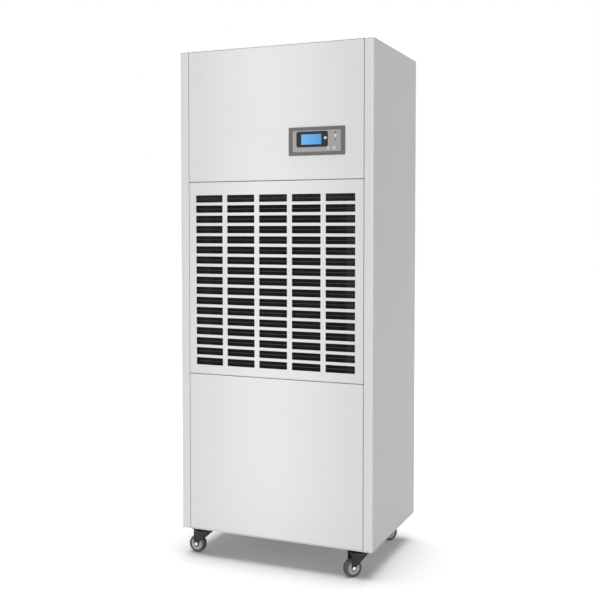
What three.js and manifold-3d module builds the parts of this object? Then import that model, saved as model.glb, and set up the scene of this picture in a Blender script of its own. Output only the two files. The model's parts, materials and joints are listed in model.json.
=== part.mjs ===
// Floor-standing refrigerant dehumidifier for commercial rooms, on four swivel casters.
// Millimetres, +Z up, front facing -Y, x = 0 in the middle of the width.
// The origin lies on the floor, under the middle of the object's bounding box.

import * as THREE from 'three';
import { mergeGeometries, mergeVertices } from 'three/addons/utils/BufferGeometryUtils.js';
import Module from 'manifold-3d';

const wasm = await Module();
wasm.setup();

// ---------------------------------------------------------------- driving dimensions

const cabinetWidth = 600;
const cabinetDepth = 415;
const cabinetHeight = 1412;
const cornerRadius = 7;          // outside radius of the folded front corners
const seat = 0.3;                // clearance between pieces that rest on each other

const sheet = 1.2;               // folded sheet of the casing
const frontStrip = 27;           // width of the side panel's front return
const rebate = 19;               // depth of the rebate that the front panels sit in
const lipWidth = 15;             // width of the rebate's back lip
const rearReturn = 25;
const seam = 1.6;                // visible groove between casing panels

const lowerSeamHeight = 466.7;   // seams of the front panels, above the cabinet's underside
const upperSeamHeight = 1031.7;

const crossbarReach = 26;
const crossbarHeight = 34;

const basePlate = 2;
const trayUpstand = 38;

// casters
const casterHeight = 82;
const casterInsetX = 53;         // swivel axis to the cabinet's side
const casterInsetY = 38;         // swivel axis to the cabinet's front or back
const casterPlateSide = 60;
const casterPlateThickness = 3;
const casterBoltInset = 8;       // bolt holes, from the plate's edges
const casterBoltRadius = 3;
const raceRadius = 22;
const raceDepth = 5;             // plate to fork crown
const kingPinRadius = 4.6;
const kingPinHead = 8;
const casterTrail = 20;
const wheelRadius = 26;
const wheelWidth = 20;
const forkCrownRadius = 27;
const forkCrownDepth = 10;
const forkLeg = 2.5;
const forkSideGap = 1.5;
const forkEye = 8.5;
const hubRadius = 8;
const tyreWall = 9;              // tread to the rim's edge
const axleRadius = 4;
const axleHeadRadius = 6.5;
const runningGap = 0.35;

// intake grille
const slotColumns = 5;
const slotRows = 17;
const slotSideMargin = 23.5;     // panel edge to the outer slots
const slotBarX = 15.2;           // upright bar between two slots
const slotHeight = 19.5;
const slotPitchZ = 29.82;
const slotsAboveSeam = 28.8;     // lowest slot's lower edge above the lower seam

// air outlet in the top
const outletRows = 8;
const outletSlotHeight = 14;
const outletPitchY = 25;

// filter
const filterDepth = 11;
const filterRim = 16;
const filterBehindGrille = 0.8;
const filterNetInset = 1;        // net behind the frame's front face

// control panel
const displayWidth = 168;
const displayHeight = 78.5;
const displayFromEdge = 53;      // surround's side to the panel's edge
const displayCentreHeight = 1139;
const displayProud = 4;
const displayBody = 16;
const displayRimX = 11.5;
const displayRimZ = 9;
const displayFlange = 5;         // how far the surround laps over its cut-out
const faceplateThickness = 2.5;
const faceplateRecess = 1.2;
const windowWidth = 94;
const windowHeight = 43;
const windowOffsetX = -13.4;     // window, screen and keys are placed from the surround's centre
const windowOffsetZ = 5;
const windowCorner = 5;
const screenWidth = 60;
const screenHeight = 28.6;
const screenOffsetX = -15.9;
const screenOffsetZ = 4.8;
const screenRecess = 0.8;
const windowProud = 0.5;
const keyGap = 0.35;
const keyStem = 3;               // length of a key behind the faceplate

// coils
const coilDepth = 60;
const coilSpaceLeft = 59;        // cabinet wall to the fins, room for the return bends
const coilSpaceRight = 83;       // room for the return bends, stubs and lines
const coilHeight = 540;
const evaporatorBehindFront = 54;
const condenserBehindFront = 134;
const coilTubeRadius = 4.8;
const coilBendRows = 4;
const coilBendReach = 16;
const coilStub = 8;
const coilBendMargin = 12;       // fins' foot to the first bend
const bendRowY = 18;             // tube rows, from the coil's front
const stubRowY = 42;
const coilPlate = 2;
const finLift = 14;              // fins above the coil's foot
const finHeadroom = 4;           // fins below the end plates' top
const finSideGap = 3;            // fins inside the end plates' depth

// condensate
const panDepth = 166;
const panHeight = 34;
const panWall = 1.5;
const panUnderSeam = 3;
const spigotHeight = 70;
const spigotX = -200;
const spigotRadius = 8;
const spigotWall = 2.5;
const spigotInside = 30;         // length inside the back panel
const spigotTail = 15;
const spigotFlange = 14;
const spigotFlangeThickness = 3;
const panNozzle = 22;
const nozzleFromRear = 40;
const hoseWall = 1.8;
const hoseBend = 60;

// compressor
const compressorX = -40;
const compressorY = 60;
const compressorRadius = 72;
const compressorShellHeight = 290;
const grommetHeight = 18;
const grommetRadius = 13;
const footCircle = 92;
const footRadius = 14;
const outletRise = 12;           // discharge stub above the shell
const footThickness = 4;
const footBelowShell = 8;        // the shell's bottom hangs this far below its feet
const accumulatorX = 75;
const accumulatorRadius = 32;
const accumulatorHeight = 190;
const accumulatorLift = 70;      // above the compressor's bottom
const accumulatorElbow = 32;
const accumulatorPipe = 9;
const suctionRadius = 7;
const dischargeRadius = 5;
const liquidRadius = 4;
const lineRise = 50;             // discharge line above the compressor
const suctionRise = 60;          // suction line above the accumulator
const lineFromSide = 22;
const drierRadius = 14;
const drierLength = 110;

// fan
const fanWheelRadius = 120;
const fanBladeDepth = 23;
const fanBladeTilt = 35;
const fanWheelHalfWidth = 100;
const fanBlades = 16;
const fanRing = 10;              // rim ring that ties the blades' ends
const fanHubRadius = 17;
const fanHubLength = 40;
const fanShaftReach = 80;        // shaft from the wheel's middle into the motor
const fanShaftLength = 100;
const volutePlate = 1.5;
const voluteHalfWidth = 118;
const cutoffClearance = 14;      // wheel to the scroll's tightest point
const scrollGrowth = 58;
const inletUnderlap = 22;        // inlet eye's edge inside the wheel's rim
const voluteStartAngle = 70;
const voluteOffsetY = -18;
const voluteFootHalf = 95;
const voluteFootHeight = 50;
const voluteFootReach = 22;
const footWall = 2;
const throatGap = 6;             // housing's throat below the top panel
const fanRailHeight = 26;
const fanRailFlange = 30;
const fanRailWall = 2;
const fanRailSpread = 90;        // rails in front of and behind the wheel's axis
const motorRadius = 52;
const motorLength = 120;
const motorInside = 62;          // motor's length within the inlet eye
const motorArmWidth = 24;
const motorArmThickness = 4;
const motorArmLap = 22;          // arms reach past the eye's edge
const motorArmRoot = 6;          // arms' length inside the motor's shell
const shaftRadius = 8;

// electrics
const electricalPlateDepth = 230;
const electricalPlateHeight = 240;
const electricalPlateThickness = 1.5;
const capacitorRadius = 22;
const capacitorLength = 95;
const glandX = 200;
const glandHeight = 70;
const glandReach = 19;
const glandNut = 12;
const glandInside = 14;
const glandBore = 4;

// ---------------------------------------------------------------- derived places

const halfWidth = cabinetWidth / 2;
const rearReach = glandReach;
const centreShiftY = (displayProud - rearReach) / 2;   // keeps the bounding box centred
const front = -cabinetDepth / 2 + centreShiftY;
const back = cabinetDepth / 2 + centreShiftY;
const underside = casterHeight;
const top = casterHeight + cabinetHeight;
const panelFoot = underside + basePlate + seat;
const panelHead = top - sheet - seat;
const stripInner = halfWidth - frontStrip;
const insideX = halfWidth - sheet - seat;
const behindLip = front + rebate + sheet + seat;
const frontOfBack = back - sheet - seat;
const frontX = stripInner - seam;
const slotWidth = (2 * frontX - 2 * slotSideMargin - (slotColumns - 1) * slotBarX) / slotColumns;
const slotPitchX = slotWidth + slotBarX;
const displayCentreX = frontX - displayFromEdge - displayWidth / 2;
const voluteStartRadius = fanWheelRadius + cutoffClearance;
const voluteEndRadius = voluteStartRadius + scrollGrowth;
const voluteInletRadius = fanWheelRadius - inletUnderlap;
const lowerSeam = underside + lowerSeamHeight;
const upperSeam = underside + upperSeamHeight;

// ---------------------------------------------------------------- solid helpers

// Points are snapped to a fine binary grid, so that faces meant to be flush are exactly flush.
const gridSteps = 1024;
const overshoot = 1;             // how far a cutter runs past the face that it opens

function toSolid(geometry) {
  const bare = geometry.index ? geometry.toNonIndexed() : geometry.clone();
  bare.deleteAttribute('normal');
  bare.deleteAttribute('uv');
  const places = bare.attributes.position.array;
  for (let i = 0; i < places.length; i += 1) {
    places[i] = Math.round(places[i] * gridSteps) / gridSteps;
  }
  const merged = mergeVertices(bare, 1e-4);
  const vertProperties = new Float32Array(merged.attributes.position.array);
  const triVerts = new Uint32Array(merged.index.array);
  return new wasm.Manifold(new wasm.Mesh({ numProp: 3, vertProperties, triVerts }));
}

function toGeometry(solid) {
  const mesh = solid.getMesh();
  const geometry = new THREE.BufferGeometry();
  geometry.setAttribute('position', new THREE.BufferAttribute(new Float32Array(mesh.vertProperties), 3));
  geometry.setIndex(new THREE.BufferAttribute(new Uint32Array(mesh.triVerts), 1));
  geometry.computeVertexNormals();
  return geometry;
}

function union(solids) {
  return solids.reduce((sum, next) => sum.add(next));
}

function box(x0, x1, y0, y1, z0, z1) {
  const geometry = new THREE.BoxGeometry(x1 - x0, y1 - y0, z1 - z0);
  geometry.translate((x0 + x1) / 2, (y0 + y1) / 2, (z0 + z1) / 2);
  return toSolid(geometry);
}

// A cylinder or cone of the given length from a base point, along x, y or z.
function cylinder(radius, length, base, axis = 'z', sides = 24, endRadius = radius) {
  const geometry = new THREE.CylinderGeometry(endRadius, radius, length, sides);
  geometry.translate(0, length / 2, 0);
  if (axis === 'z') geometry.rotateX(Math.PI / 2);
  if (axis === 'x') geometry.rotateZ(-Math.PI / 2);
  geometry.translate(...base);
  return toSolid(geometry);
}

// A turned solid about a line through base, along x, y or z. The profile holds [radius, along]
// pairs and starts and ends on the axis, or closes on itself.
function turned(profile, base, axis = 'z', sides = 32) {
  const points = profile.map(([radius, along]) => new THREE.Vector2(radius, along));
  const geometry = new THREE.LatheGeometry(points, sides);
  if (axis === 'z') geometry.rotateX(Math.PI / 2);
  if (axis === 'x') geometry.rotateZ(-Math.PI / 2);
  geometry.translate(...base);
  const solid = toSolid(geometry);
  return solid.volume() < 0 ? toSolid(flipped(geometry)) : solid;
}

function flipped(geometry) {
  const copy = geometry.clone();
  const index = copy.index.array;
  for (let i = 0; i < index.length; i += 3) {
    [index[i], index[i + 1]] = [index[i + 1], index[i]];
  }
  return copy;
}

// Points of an outline without the doubles where an arc meets a straight.
function outlinePoints(path, curveSegments) {
  const points = path.getPoints(curveSegments);
  return points.filter((point, i) => point.distanceTo(points[(i + 1) % points.length]) > 1e-3);
}

function extruded(shape, depth, curveSegments) {
  const clean = new THREE.Shape(outlinePoints(shape, curveSegments));
  return new THREE.ExtrudeGeometry(clean, { depth, bevelEnabled: false });
}

// Extrudes an outline in the x-y plane upwards, from z0 to z1.
function prism(shape, z0, z1, curveSegments = 6) {
  const geometry = extruded(shape, z1 - z0, curveSegments);
  geometry.translate(0, 0, z0);
  return toSolid(geometry);
}

// Extrudes an outline given in x and height towards the back, from y0 to y1.
function frontPrism(shape, y0, y1, curveSegments = 6) {
  const geometry = extruded(shape, y1 - y0, curveSegments);
  geometry.rotateX(Math.PI / 2);
  geometry.translate(0, y1, 0);
  return toSolid(geometry);
}

// Extrudes an outline given in y and height towards +x, from x0 to x1.
function sidePrism(shape, x0, x1, curveSegments = 6) {
  const geometry = extruded(shape, x1 - x0, curveSegments);
  geometry.applyMatrix4(new THREE.Matrix4().set(0, 0, 1, x0, 1, 0, 0, 0, 0, 1, 0, 0, 0, 0, 0, 1));
  return toSolid(geometry);
}

function roundedRect(x0, x1, y0, y1, radius) {
  const shape = new THREE.Shape();
  shape.moveTo(x0 + radius, y0);
  shape.lineTo(x1 - radius, y0);
  shape.absarc(x1 - radius, y0 + radius, radius, -Math.PI / 2, 0);
  shape.lineTo(x1, y1 - radius);
  shape.absarc(x1 - radius, y1 - radius, radius, 0, Math.PI / 2);
  shape.lineTo(x0 + radius, y1);
  shape.absarc(x0 + radius, y1 - radius, radius, Math.PI / 2, Math.PI);
  shape.lineTo(x0, y0 + radius);
  shape.absarc(x0 + radius, y0 + radius, radius, Math.PI, Math.PI * 1.5);
  return shape;
}

function polygon(points) {
  return new THREE.Shape(points.map(([x, y]) => new THREE.Vector2(x, y)));
}

// A folded sheet's section: the path is the outer surface, and the wall lies on its left.
function sheetSection(path, thickness) {
  const inner = path.map((point, i) => {
    const before = path[Math.max(i - 1, 0)];
    const after = path[Math.min(i + 1, path.length - 1)];
    const into = new THREE.Vector2(point[0] - before[0], point[1] - before[1]);
    const out = new THREE.Vector2(after[0] - point[0], after[1] - point[1]);
    if (i === 0) into.copy(out);
    if (i === path.length - 1) out.copy(into);
    into.normalize();
    out.normalize();
    const normal = new THREE.Vector2(-into.y - out.y, into.x + out.x).normalize();
    const stretch = thickness / (normal.x * -into.y + normal.y * into.x);
    return [point[0] + normal.x * stretch, point[1] + normal.y * stretch];
  });
  return polygon([...path, ...inner.reverse()]);
}

// A round bar, pipe or hose along points joined by straight runs and rounded bends.
function pipe(points, radius, bend, sides = 8) {
  const bendSteps = 3;
  const path = new THREE.CurvePath();
  const corners = points.map((point) => new THREE.Vector3(...point));
  let start = corners[0];
  for (let i = 1; i < corners.length - 1; i += 1) {
    const corner = corners[i];
    const toward = corners[i - 1].clone().sub(corner).normalize();
    const away = corners[i + 1].clone().sub(corner).normalize();
    const entry = corner.clone().addScaledVector(toward, bend);
    const exit = corner.clone().addScaledVector(away, bend);
    path.add(new THREE.LineCurve3(start, entry));
    path.add(new THREE.QuadraticBezierCurve3(entry, corner, exit));
    start = exit;
  }
  path.add(new THREE.LineCurve3(start, corners[corners.length - 1]));
  const rings = [];
  for (const curve of path.curves) {
    const pieces = curve.isLineCurve3 ? 1 : bendSteps;
    for (let i = 0; i < pieces; i += 1) {
      rings.push(curve.getPoint(i / pieces));
    }
  }
  rings.push(corners[corners.length - 1]);
  return tube(rings, radius, sides);
}

function tube(rings, radius, sides) {
  const section = [];
  for (let i = 0; i < sides; i += 1) {
    const angle = (i * 2 * Math.PI) / sides;
    section.push([radius * Math.cos(angle), radius * Math.sin(angle)]);
  }
  const settings = { steps: rings.length - 1, extrudePath: new RingRoute(rings), bevelEnabled: false };
  return toSolid(new THREE.ExtrudeGeometry(polygon(section), settings));
}

// A path that visits a list of ring centres at equal parameter steps.
class RingRoute extends THREE.Curve {
  constructor(rings) {
    super();
    this.rings = rings;
  }

  getPoint(t, target = new THREE.Vector3()) {
    const last = this.rings.length - 1;
    const place = Math.min(Math.max(t, 0), 1) * last;
    const i = Math.min(Math.floor(place), last - 1);
    return target.lerpVectors(this.rings[i], this.rings[i + 1], place - i);
  }

  getPointAt(t, target) {
    return this.getPoint(t, target);
  }

  getTangentAt(t, target = new THREE.Vector3()) {
    return this.getTangent(t, target);
  }

  getTangent(t, target = new THREE.Vector3()) {
    const last = this.rings.length - 1;
    const i = Math.round(Math.min(Math.max(t, 0), 1) * last);
    const before = this.rings[Math.max(i - 1, 0)];
    const after = this.rings[Math.min(i + 1, last)];
    const into = this.rings[i].clone().sub(before).normalize();
    const out = after.clone().sub(this.rings[i]).normalize();
    return target.copy(into.add(out)).normalize();
  }
}

// ---------------------------------------------------------------- materials and scene

function finish(color, roughness, metalness) {
  return new THREE.MeshStandardMaterial({ color, roughness, metalness });
}

const finishes = {
  casing: () => finish(0xe4e4e4, 0.45, 0.1),
  zinc: () => finish(0xb8bcc0, 0.4, 0.9),
  steel: () => finish(0xc4c6c8, 0.3, 1),
  blackSteel: () => finish(0x1d1d1f, 0.45, 0.4),
  blackPlastic: () => finish(0x18181a, 0.5, 0),
  greyPlastic: () => finish(0x6b6b6c, 0.5, 0),
  palePlastic: () => finish(0x9a9a9a, 0.45, 0),
  white: () => finish(0xdcdcd8, 0.4, 0),
  screen: () => finish(0x4a9fe0, 0.2, 0),
  rubber: () => finish(0x2b2b2c, 0.8, 0),
  aluminium: () => finish(0xc8ccd0, 0.35, 0.9),
  copper: () => finish(0xb87a55, 0.35, 1),
  hose: () => finish(0xbfc4c4, 0.5, 0),
};

const dehumidifier = new THREE.Group();

function add(name, solid, material, group = dehumidifier) {
  const mesh = new THREE.Mesh(toGeometry(solid), material());
  mesh.name = name;
  group.add(mesh);
  return mesh;
}

// ---------------------------------------------------------------- casing

// The side sheet: back lip, rebate wall, front strip, round corner, side, rear return.
function sidePanel(sign) {
  const arc = [];
  const arcSteps = 5;
  for (let i = 0; i <= arcSteps; i += 1) {
    const angle = (-90 + (90 * i) / arcSteps) * THREE.MathUtils.DEG2RAD;
    arc.push([
      halfWidth - cornerRadius + cornerRadius * Math.cos(angle),
      front + cornerRadius + cornerRadius * Math.sin(angle),
    ]);
  }
  const path = [
    [stripInner - lipWidth, front + rebate],
    [stripInner, front + rebate],
    [stripInner, front],
    ...arc,
    [halfWidth, back],
    [halfWidth - rearReturn, back],
  ];
  const section = sheetSection(path, sheet);
  if (sign > 0) return prism(section, panelFoot, panelHead);
  const mirrored = polygon(section.getPoints().map((p) => [-p.x, p.y]).reverse());
  return prism(mirrored, panelFoot, panelHead);
}

// A shallow tray with its face to the front and four flanges reaching back to the rebate.
function frontTray(z0, z1) {
  const x = frontX;
  const y1 = front + rebate - seat;
  return box(-x, x, front, y1, z0, z1)
    .subtract(box(-x + sheet, x - sheet, front + sheet, y1 + overshoot, z0 + sheet, z1 - sheet));
}

// One cutter for a grid of equal slots. place(x, v) gives a slot's centre for its column and row.
function slotCutter(rows, size, pitch, place) {
  const cuts = [];
  for (let column = 0; column < slotColumns; column += 1) {
    const x = (column - (slotColumns - 1) / 2) * slotPitchX;
    for (let row = 0; row < rows; row += 1) {
      const cut = new THREE.BoxGeometry(...size);
      cut.translate(...place(x, row * pitch));
      cuts.push(cut);
    }
  }
  return toSolid(mergeGeometries(cuts));
}

function intakeGrille(z0, z1) {
  const firstSlot = lowerSeam + slotsAboveSeam + slotHeight / 2;
  const slots = slotCutter(slotRows, [slotWidth, 4 * sheet, slotHeight], slotPitchZ,
    (x, rise) => [x, front + sheet / 2, firstSlot + rise]);
  return frontTray(z0, z1).subtract(slots);
}

function roundedFootprint() {
  const shape = new THREE.Shape();
  shape.moveTo(-halfWidth, back);
  shape.lineTo(-halfWidth, front + cornerRadius);
  shape.absarc(-halfWidth + cornerRadius, front + cornerRadius, cornerRadius, Math.PI, Math.PI * 1.5);
  shape.lineTo(halfWidth - cornerRadius, front);
  shape.absarc(halfWidth - cornerRadius, front + cornerRadius, cornerRadius, -Math.PI / 2, 0);
  shape.lineTo(halfWidth, back);
  return shape;
}

// The four upright flanges of the base tray and the top panel, as one ring.
function flangeRing(z0, z1, thickness) {
  const x = insideX - thickness;
  const y1 = frontOfBack - sheet - seat;
  const hollow = box(-x, x, behindLip + thickness, y1 - thickness, z0 - overshoot, z1 + overshoot);
  return box(-insideX, insideX, behindLip, y1, z0, z1).subtract(hollow);
}

function topPanel() {
  const firstY = (front + back) / 2 - ((outletRows - 1) * outletPitchY) / 2;
  const slots = slotCutter(outletRows, [slotWidth, outletSlotHeight, 4 * sheet], outletPitchY,
    (x, along) => [x, firstY + along, top - sheet / 2]);
  return prism(roundedFootprint(), top - sheet, top)
    .subtract(slots)
    .add(flangeRing(top - trayUpstand, top - sheet / 2, sheet));
}

function baseTray() {
  return prism(roundedFootprint(), underside, underside + basePlate)
    .add(flangeRing(underside + basePlate / 2, underside + trayUpstand, basePlate));
}

const halfSeam = seam / 2;
const displayZ = underside + displayCentreHeight;
const cutX = displayWidth / 2 - displayFlange;
const cutZ = displayHeight / 2 - displayFlange;

const displayCut = box(displayCentreX - cutX, displayCentreX + cutX,
  front - overshoot, front + sheet + overshoot, displayZ - cutZ, displayZ + cutZ);
const upperFront = frontTray(upperSeam + halfSeam, panelHead).subtract(displayCut);

const spigotZ = underside + spigotHeight;
const glandZ = underside + glandHeight;

// A round cutter through the back panel for a fitting that passes it.
function backHole(x, z) {
  const base = [x, frontOfBack - sheet - overshoot, z];
  return cylinder(spigotRadius + seat, sheet + 2 * overshoot, base, 'y', 20);
}

const backPanel = box(-insideX, insideX, frontOfBack - sheet, frontOfBack, panelFoot, panelHead)
  .subtract(backHole(spigotX, spigotZ))
  .subtract(backHole(glandX, glandZ));

add('base_tray', baseTray(), finishes.casing);
add('left_side_panel', sidePanel(-1), finishes.casing);
add('right_side_panel', sidePanel(1), finishes.casing);
add('back_panel', backPanel, finishes.casing);
add('top_panel', topPanel(), finishes.casing);
add('upper_front_panel', upperFront, finishes.casing);
add('intake_grille_panel', intakeGrille(lowerSeam + halfSeam, upperSeam - halfSeam), finishes.casing);
add('lower_front_panel', frontTray(panelFoot, lowerSeam - halfSeam), finishes.casing);

// ---------------------------------------------------------------- inner frame

// A channel across the cabinet behind the rebate lips, open to the back.
function crossbar(z) {
  const y1 = behindLip + crossbarReach;
  const z0 = z - crossbarHeight / 2;
  const z1 = z + crossbarHeight / 2;
  const section = sheetSection([[y1, z1], [behindLip, z1], [behindLip, z0], [y1, z0]], sheet);
  return sidePrism(section, -insideX, insideX);
}

const voluteY = (front + back) / 2 + voluteOffsetY;
const bottomRadius = voluteStartRadius
  + ((voluteEndRadius - voluteStartRadius) * (270 - voluteStartAngle)) / (360 - voluteStartAngle);
const railTop = upperSeam + crossbarHeight / 2 + seat + fanRailHeight;
const voluteZ = railTop + seat + bottomRadius + volutePlate;

// An angle rail from side to side that carries the fan housing's foot.
function fanRail(y, toward) {
  const inner = y + toward * fanRailWall;
  const tip = y + toward * fanRailFlange;
  const foot = railTop - fanRailHeight;
  const under = railTop - fanRailWall;
  const corners = [[y, foot], [inner, foot], [inner, under], [tip, under], [tip, railTop], [y, railTop]];
  return sidePrism(polygon(toward > 0 ? corners : corners.reverse()), -insideX, insideX);
}

add('lower_crossbar', crossbar(lowerSeam), finishes.zinc);
add('upper_crossbar', crossbar(upperSeam), finishes.zinc);
add('fan_rail_front', fanRail(voluteY - fanRailSpread, 1), finishes.zinc);
add('fan_rail_rear', fanRail(voluteY + fanRailSpread, -1), finishes.zinc);

// ---------------------------------------------------------------- filter

const filterFront = front + sheet + filterBehindGrille;
const filterX = frontX - sheet - seat;
const filterZ0 = lowerSeam + halfSeam + sheet + seat;
const filterZ1 = upperSeam - halfSeam - sheet - seat;

// The filter's outline, moved in by an inset, between two depths.
function filterBox(inset, y0, y1) {
  return box(-filterX + inset, filterX - inset, y0, y1, filterZ0 + inset, filterZ1 - inset);
}

const filterRear = filterFront + filterDepth;
const filterFrame = filterBox(0, filterFront, filterRear)
  .subtract(filterBox(filterRim, filterFront - overshoot, filterRear + overshoot));
const filterMesh = filterBox(filterRim + seat, filterFront + filterNetInset, filterRear - filterNetInset);

add('filter_frame', filterFrame, finishes.blackPlastic);
add('filter_mesh', filterMesh, finishes.blackPlastic);

// ---------------------------------------------------------------- drain pan and coils

const panY0 = behindLip + crossbarReach + seat;
const panY1 = panY0 + panDepth;
const panZ1 = lowerSeam - panUnderSeam;
const panZ0 = panZ1 - panHeight;
const nozzleY = panY1 - nozzleFromRear;

function drainPan() {
  const x = insideX - panWall;
  const outer = box(-insideX, insideX, panY0, panY1, panZ0, panZ1);
  const hollow = box(-x, x, panY0 + panWall, panY1 - panWall, panZ0 + panWall, panZ1 + overshoot);
  const nozzleZ = panZ0 - panNozzle;
  const nozzle = cylinder(spigotRadius, panNozzle + panWall / 2, [spigotX, nozzleY, nozzleZ], 'z', 20);
  const boreLength = panNozzle + panWall + 2 * overshoot;
  const bore = cylinder(spigotRadius - 2, boreLength, [spigotX, nozzleY, nozzleZ - overshoot], 'z', 16);
  return outer.subtract(hollow).add(nozzle).subtract(bore);
}

const coilFoot = panZ0 + panWall + seat;
const finX0 = -insideX + coilSpaceLeft;
const finX1 = insideX - coilSpaceRight;
const stubEnd = finX1 + coilPlate + coilBendReach + coilStub;

// A half-ring return bend that joins two tubes of the coil, in the x-z plane.
function returnBend(x, y, z, rise, sign) {
  const radius = rise / 2;
  const points = [];
  const bendSteps = 4;
  for (let i = 0; i <= bendSteps; i += 1) {
    const angle = (-90 + (180 * i) / bendSteps) * THREE.MathUtils.DEG2RAD;
    const out = sign * Math.cos(angle) * coilBendReach;
    points.push(new THREE.Vector3(x + out, y, z + radius + radius * Math.sin(angle)));
  }
  points.unshift(new THREE.Vector3(x - sign * coilPlate, y, z));
  points.push(new THREE.Vector3(x - sign * coilPlate, y, z + rise));
  return tube(points, coilTubeRadius, 6);
}

// A fin block between two end plates that stand in the pan, with return bends and two stubs.
function coil(y0, stubHeights) {
  const y1 = y0 + coilDepth;
  const z1 = coilFoot + coilHeight;
  const parts = [
    box(finX0, finX1, y0 + finSideGap, y1 - finSideGap, coilFoot + finLift, z1 - finHeadroom),
    box(finX0 - coilPlate, finX0 + 1, y0, y1, coilFoot, z1),
    box(finX1 - 1, finX1 + coilPlate, y0, y1, coilFoot, z1),
  ];
  const firstBend = coilFoot + finLift + coilBendMargin;
  const pitch = (coilHeight - finLift - 2.5 * coilBendMargin) / (coilBendRows * 2);
  for (let row = 0; row < coilBendRows; row += 1) {
    const z = firstBend + row * pitch * 2;
    parts.push(returnBend(finX0 - coilPlate, y0 + bendRowY, z, pitch, -1));
    parts.push(returnBend(finX1 + coilPlate, y0 + bendRowY, z, pitch, 1));
  }
  for (const height of stubHeights) {
    parts.push(cylinder(coilTubeRadius, stubEnd - finX1, [finX1, y0 + stubRowY, coilFoot + height], 'x', 12));
  }
  return union(parts);
}

const evaporatorY = front + evaporatorBehindFront;
const condenserY = front + condenserBehindFront;
const suctionStub = coilHeight - 40;
const evaporatorInlet = coilHeight - 240;
const dischargeStub = coilHeight - 100;
const liquidStub = 60;

add('drain_pan', drainPan(), finishes.steel);
add('evaporator_coil', coil(evaporatorY, [suctionStub, evaporatorInlet]), finishes.aluminium);
add('condenser_coil', coil(condenserY, [dischargeStub, liquidStub]), finishes.aluminium);

const hoseZ = panZ0 - panNozzle - seat;
const spigotInner = frontOfBack - sheet - spigotInside;
add('drain_hose', pipe([
  [spigotX, nozzleY, hoseZ],
  [spigotX, nozzleY, spigotZ],
  [spigotX, spigotInner - seat, spigotZ],
], spigotRadius + hoseWall, hoseBend, 10), finishes.hose);

// Drain fitting: a tail inside, a flange against the back panel, and an open spout outside.
function drainSpigot() {
  const flange1 = spigotInside - seat;
  const flange0 = flange1 - spigotFlangeThickness;
  const end = spigotInside + sheet + spigotTail;
  const boreRadius = spigotRadius - spigotWall;
  const boreEnd = spigotInside + sheet + spigotWall;
  return turned([
    [0, 0], [spigotRadius, 0], [spigotRadius, flange0], [spigotFlange, flange0], [spigotFlange, flange1],
    [spigotRadius, flange1], [spigotRadius, end], [boreRadius, end], [boreRadius, boreEnd], [0, boreEnd],
  ], [spigotX, spigotInner, spigotZ], 'y', 14);
}

add('drain_spigot', drainSpigot(), finishes.blackPlastic);

// ---------------------------------------------------------------- refrigeration circuit

const floorTop = underside + basePlate;
const grommetBase = floorTop + seat;
const footZ = grommetBase + grommetHeight + seat;
const shellZ = footZ - footBelowShell;
const shellTop = shellZ + compressorShellHeight;

function footAngle(i) {
  return (90 + 120 * i) * THREE.MathUtils.DEG2RAD;
}

function compressorSolid() {
  const r = compressorRadius;
  const h = compressorShellHeight;
  const shell = turned([
    [0, 0], [r * 0.55, 2], [r * 0.86, 12], [r, 34],
    [r, h - 42], [r * 0.88, h - 18], [r * 0.55, h - 4], [0, h],
  ], [compressorX, compressorY, shellZ], 'z', 20);
  const feet = [];
  for (let i = 0; i < 3; i += 1) {
    const x = compressorX + footCircle * Math.cos(footAngle(i));
    const y = compressorY + footCircle * Math.sin(footAngle(i));
    feet.push(cylinder(footRadius, footThickness, [x, y, footZ], 'z', 12));
  }
  const reach = footCircle + 8;
  const outline = polygon([0, 1, 2].map((i) => [
    compressorX + reach * Math.cos(footAngle(i)),
    compressorY + reach * Math.sin(footAngle(i)),
  ]));
  const outlet = cylinder(7, outletRise + 4, [compressorX, compressorY, shellTop - 4], 'z', 12);
  const terminalFront = compressorY - r - 16;
  const terminals = box(compressorX - 26, compressorX + 26, terminalFront, terminalFront + 26,
    shellTop - 120, shellTop - 70);
  return union([shell, ...feet, prism(outline, footZ, footZ + footThickness), outlet, terminals]);
}

add('compressor', compressorSolid(), finishes.blackSteel);

for (let i = 0; i < 3; i += 1) {
  const x = compressorX + footCircle * Math.cos(footAngle(i));
  const y = compressorY + footCircle * Math.sin(footAngle(i));
  const r = grommetRadius;
  add(`compressor_grommet_${i + 1}`, turned([
    [0, 0], [r, 0], [r, 5], [r * 0.75, 7], [r * 0.75, grommetHeight - 6], [r * 0.95, grommetHeight - 3],
    [r * 0.95, grommetHeight], [0, grommetHeight],
  ], [x, y, grommetBase], 'z', 12), finishes.rubber);
}

const accumulatorZ = shellZ + accumulatorLift;
const accumulatorTop = accumulatorZ + accumulatorHeight;
const accumulator = turned([
  [0, 0], [accumulatorRadius * 0.5, 2], [accumulatorRadius, 18], [accumulatorRadius, accumulatorHeight - 18],
  [accumulatorRadius * 0.5, accumulatorHeight - 2], [0, accumulatorHeight],
], [accumulatorX, compressorY, accumulatorZ], 'z', 16)
  .add(pipe([
    [accumulatorX, compressorY, accumulatorZ + 10],
    [accumulatorX, compressorY, accumulatorZ - accumulatorElbow],
    [compressorX + compressorRadius + seat, compressorY, accumulatorZ - accumulatorElbow],
  ], accumulatorPipe, 14, 10));
add('accumulator', accumulator, finishes.blackSteel);

const lineStart = stubEnd + seat;
const suctionX = halfWidth - lineFromSide;
const dischargeX = stubEnd + 16;
const suctionLine = pipe([
  [lineStart, evaporatorY + stubRowY, coilFoot + suctionStub],
  [suctionX, evaporatorY + stubRowY, coilFoot + suctionStub],
  [suctionX, compressorY, coilFoot + suctionStub],
  [suctionX, compressorY, accumulatorTop + suctionRise],
  [accumulatorX, compressorY, accumulatorTop + suctionRise],
  [accumulatorX, compressorY, accumulatorTop + seat],
], suctionRadius, 18, 8);

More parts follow.
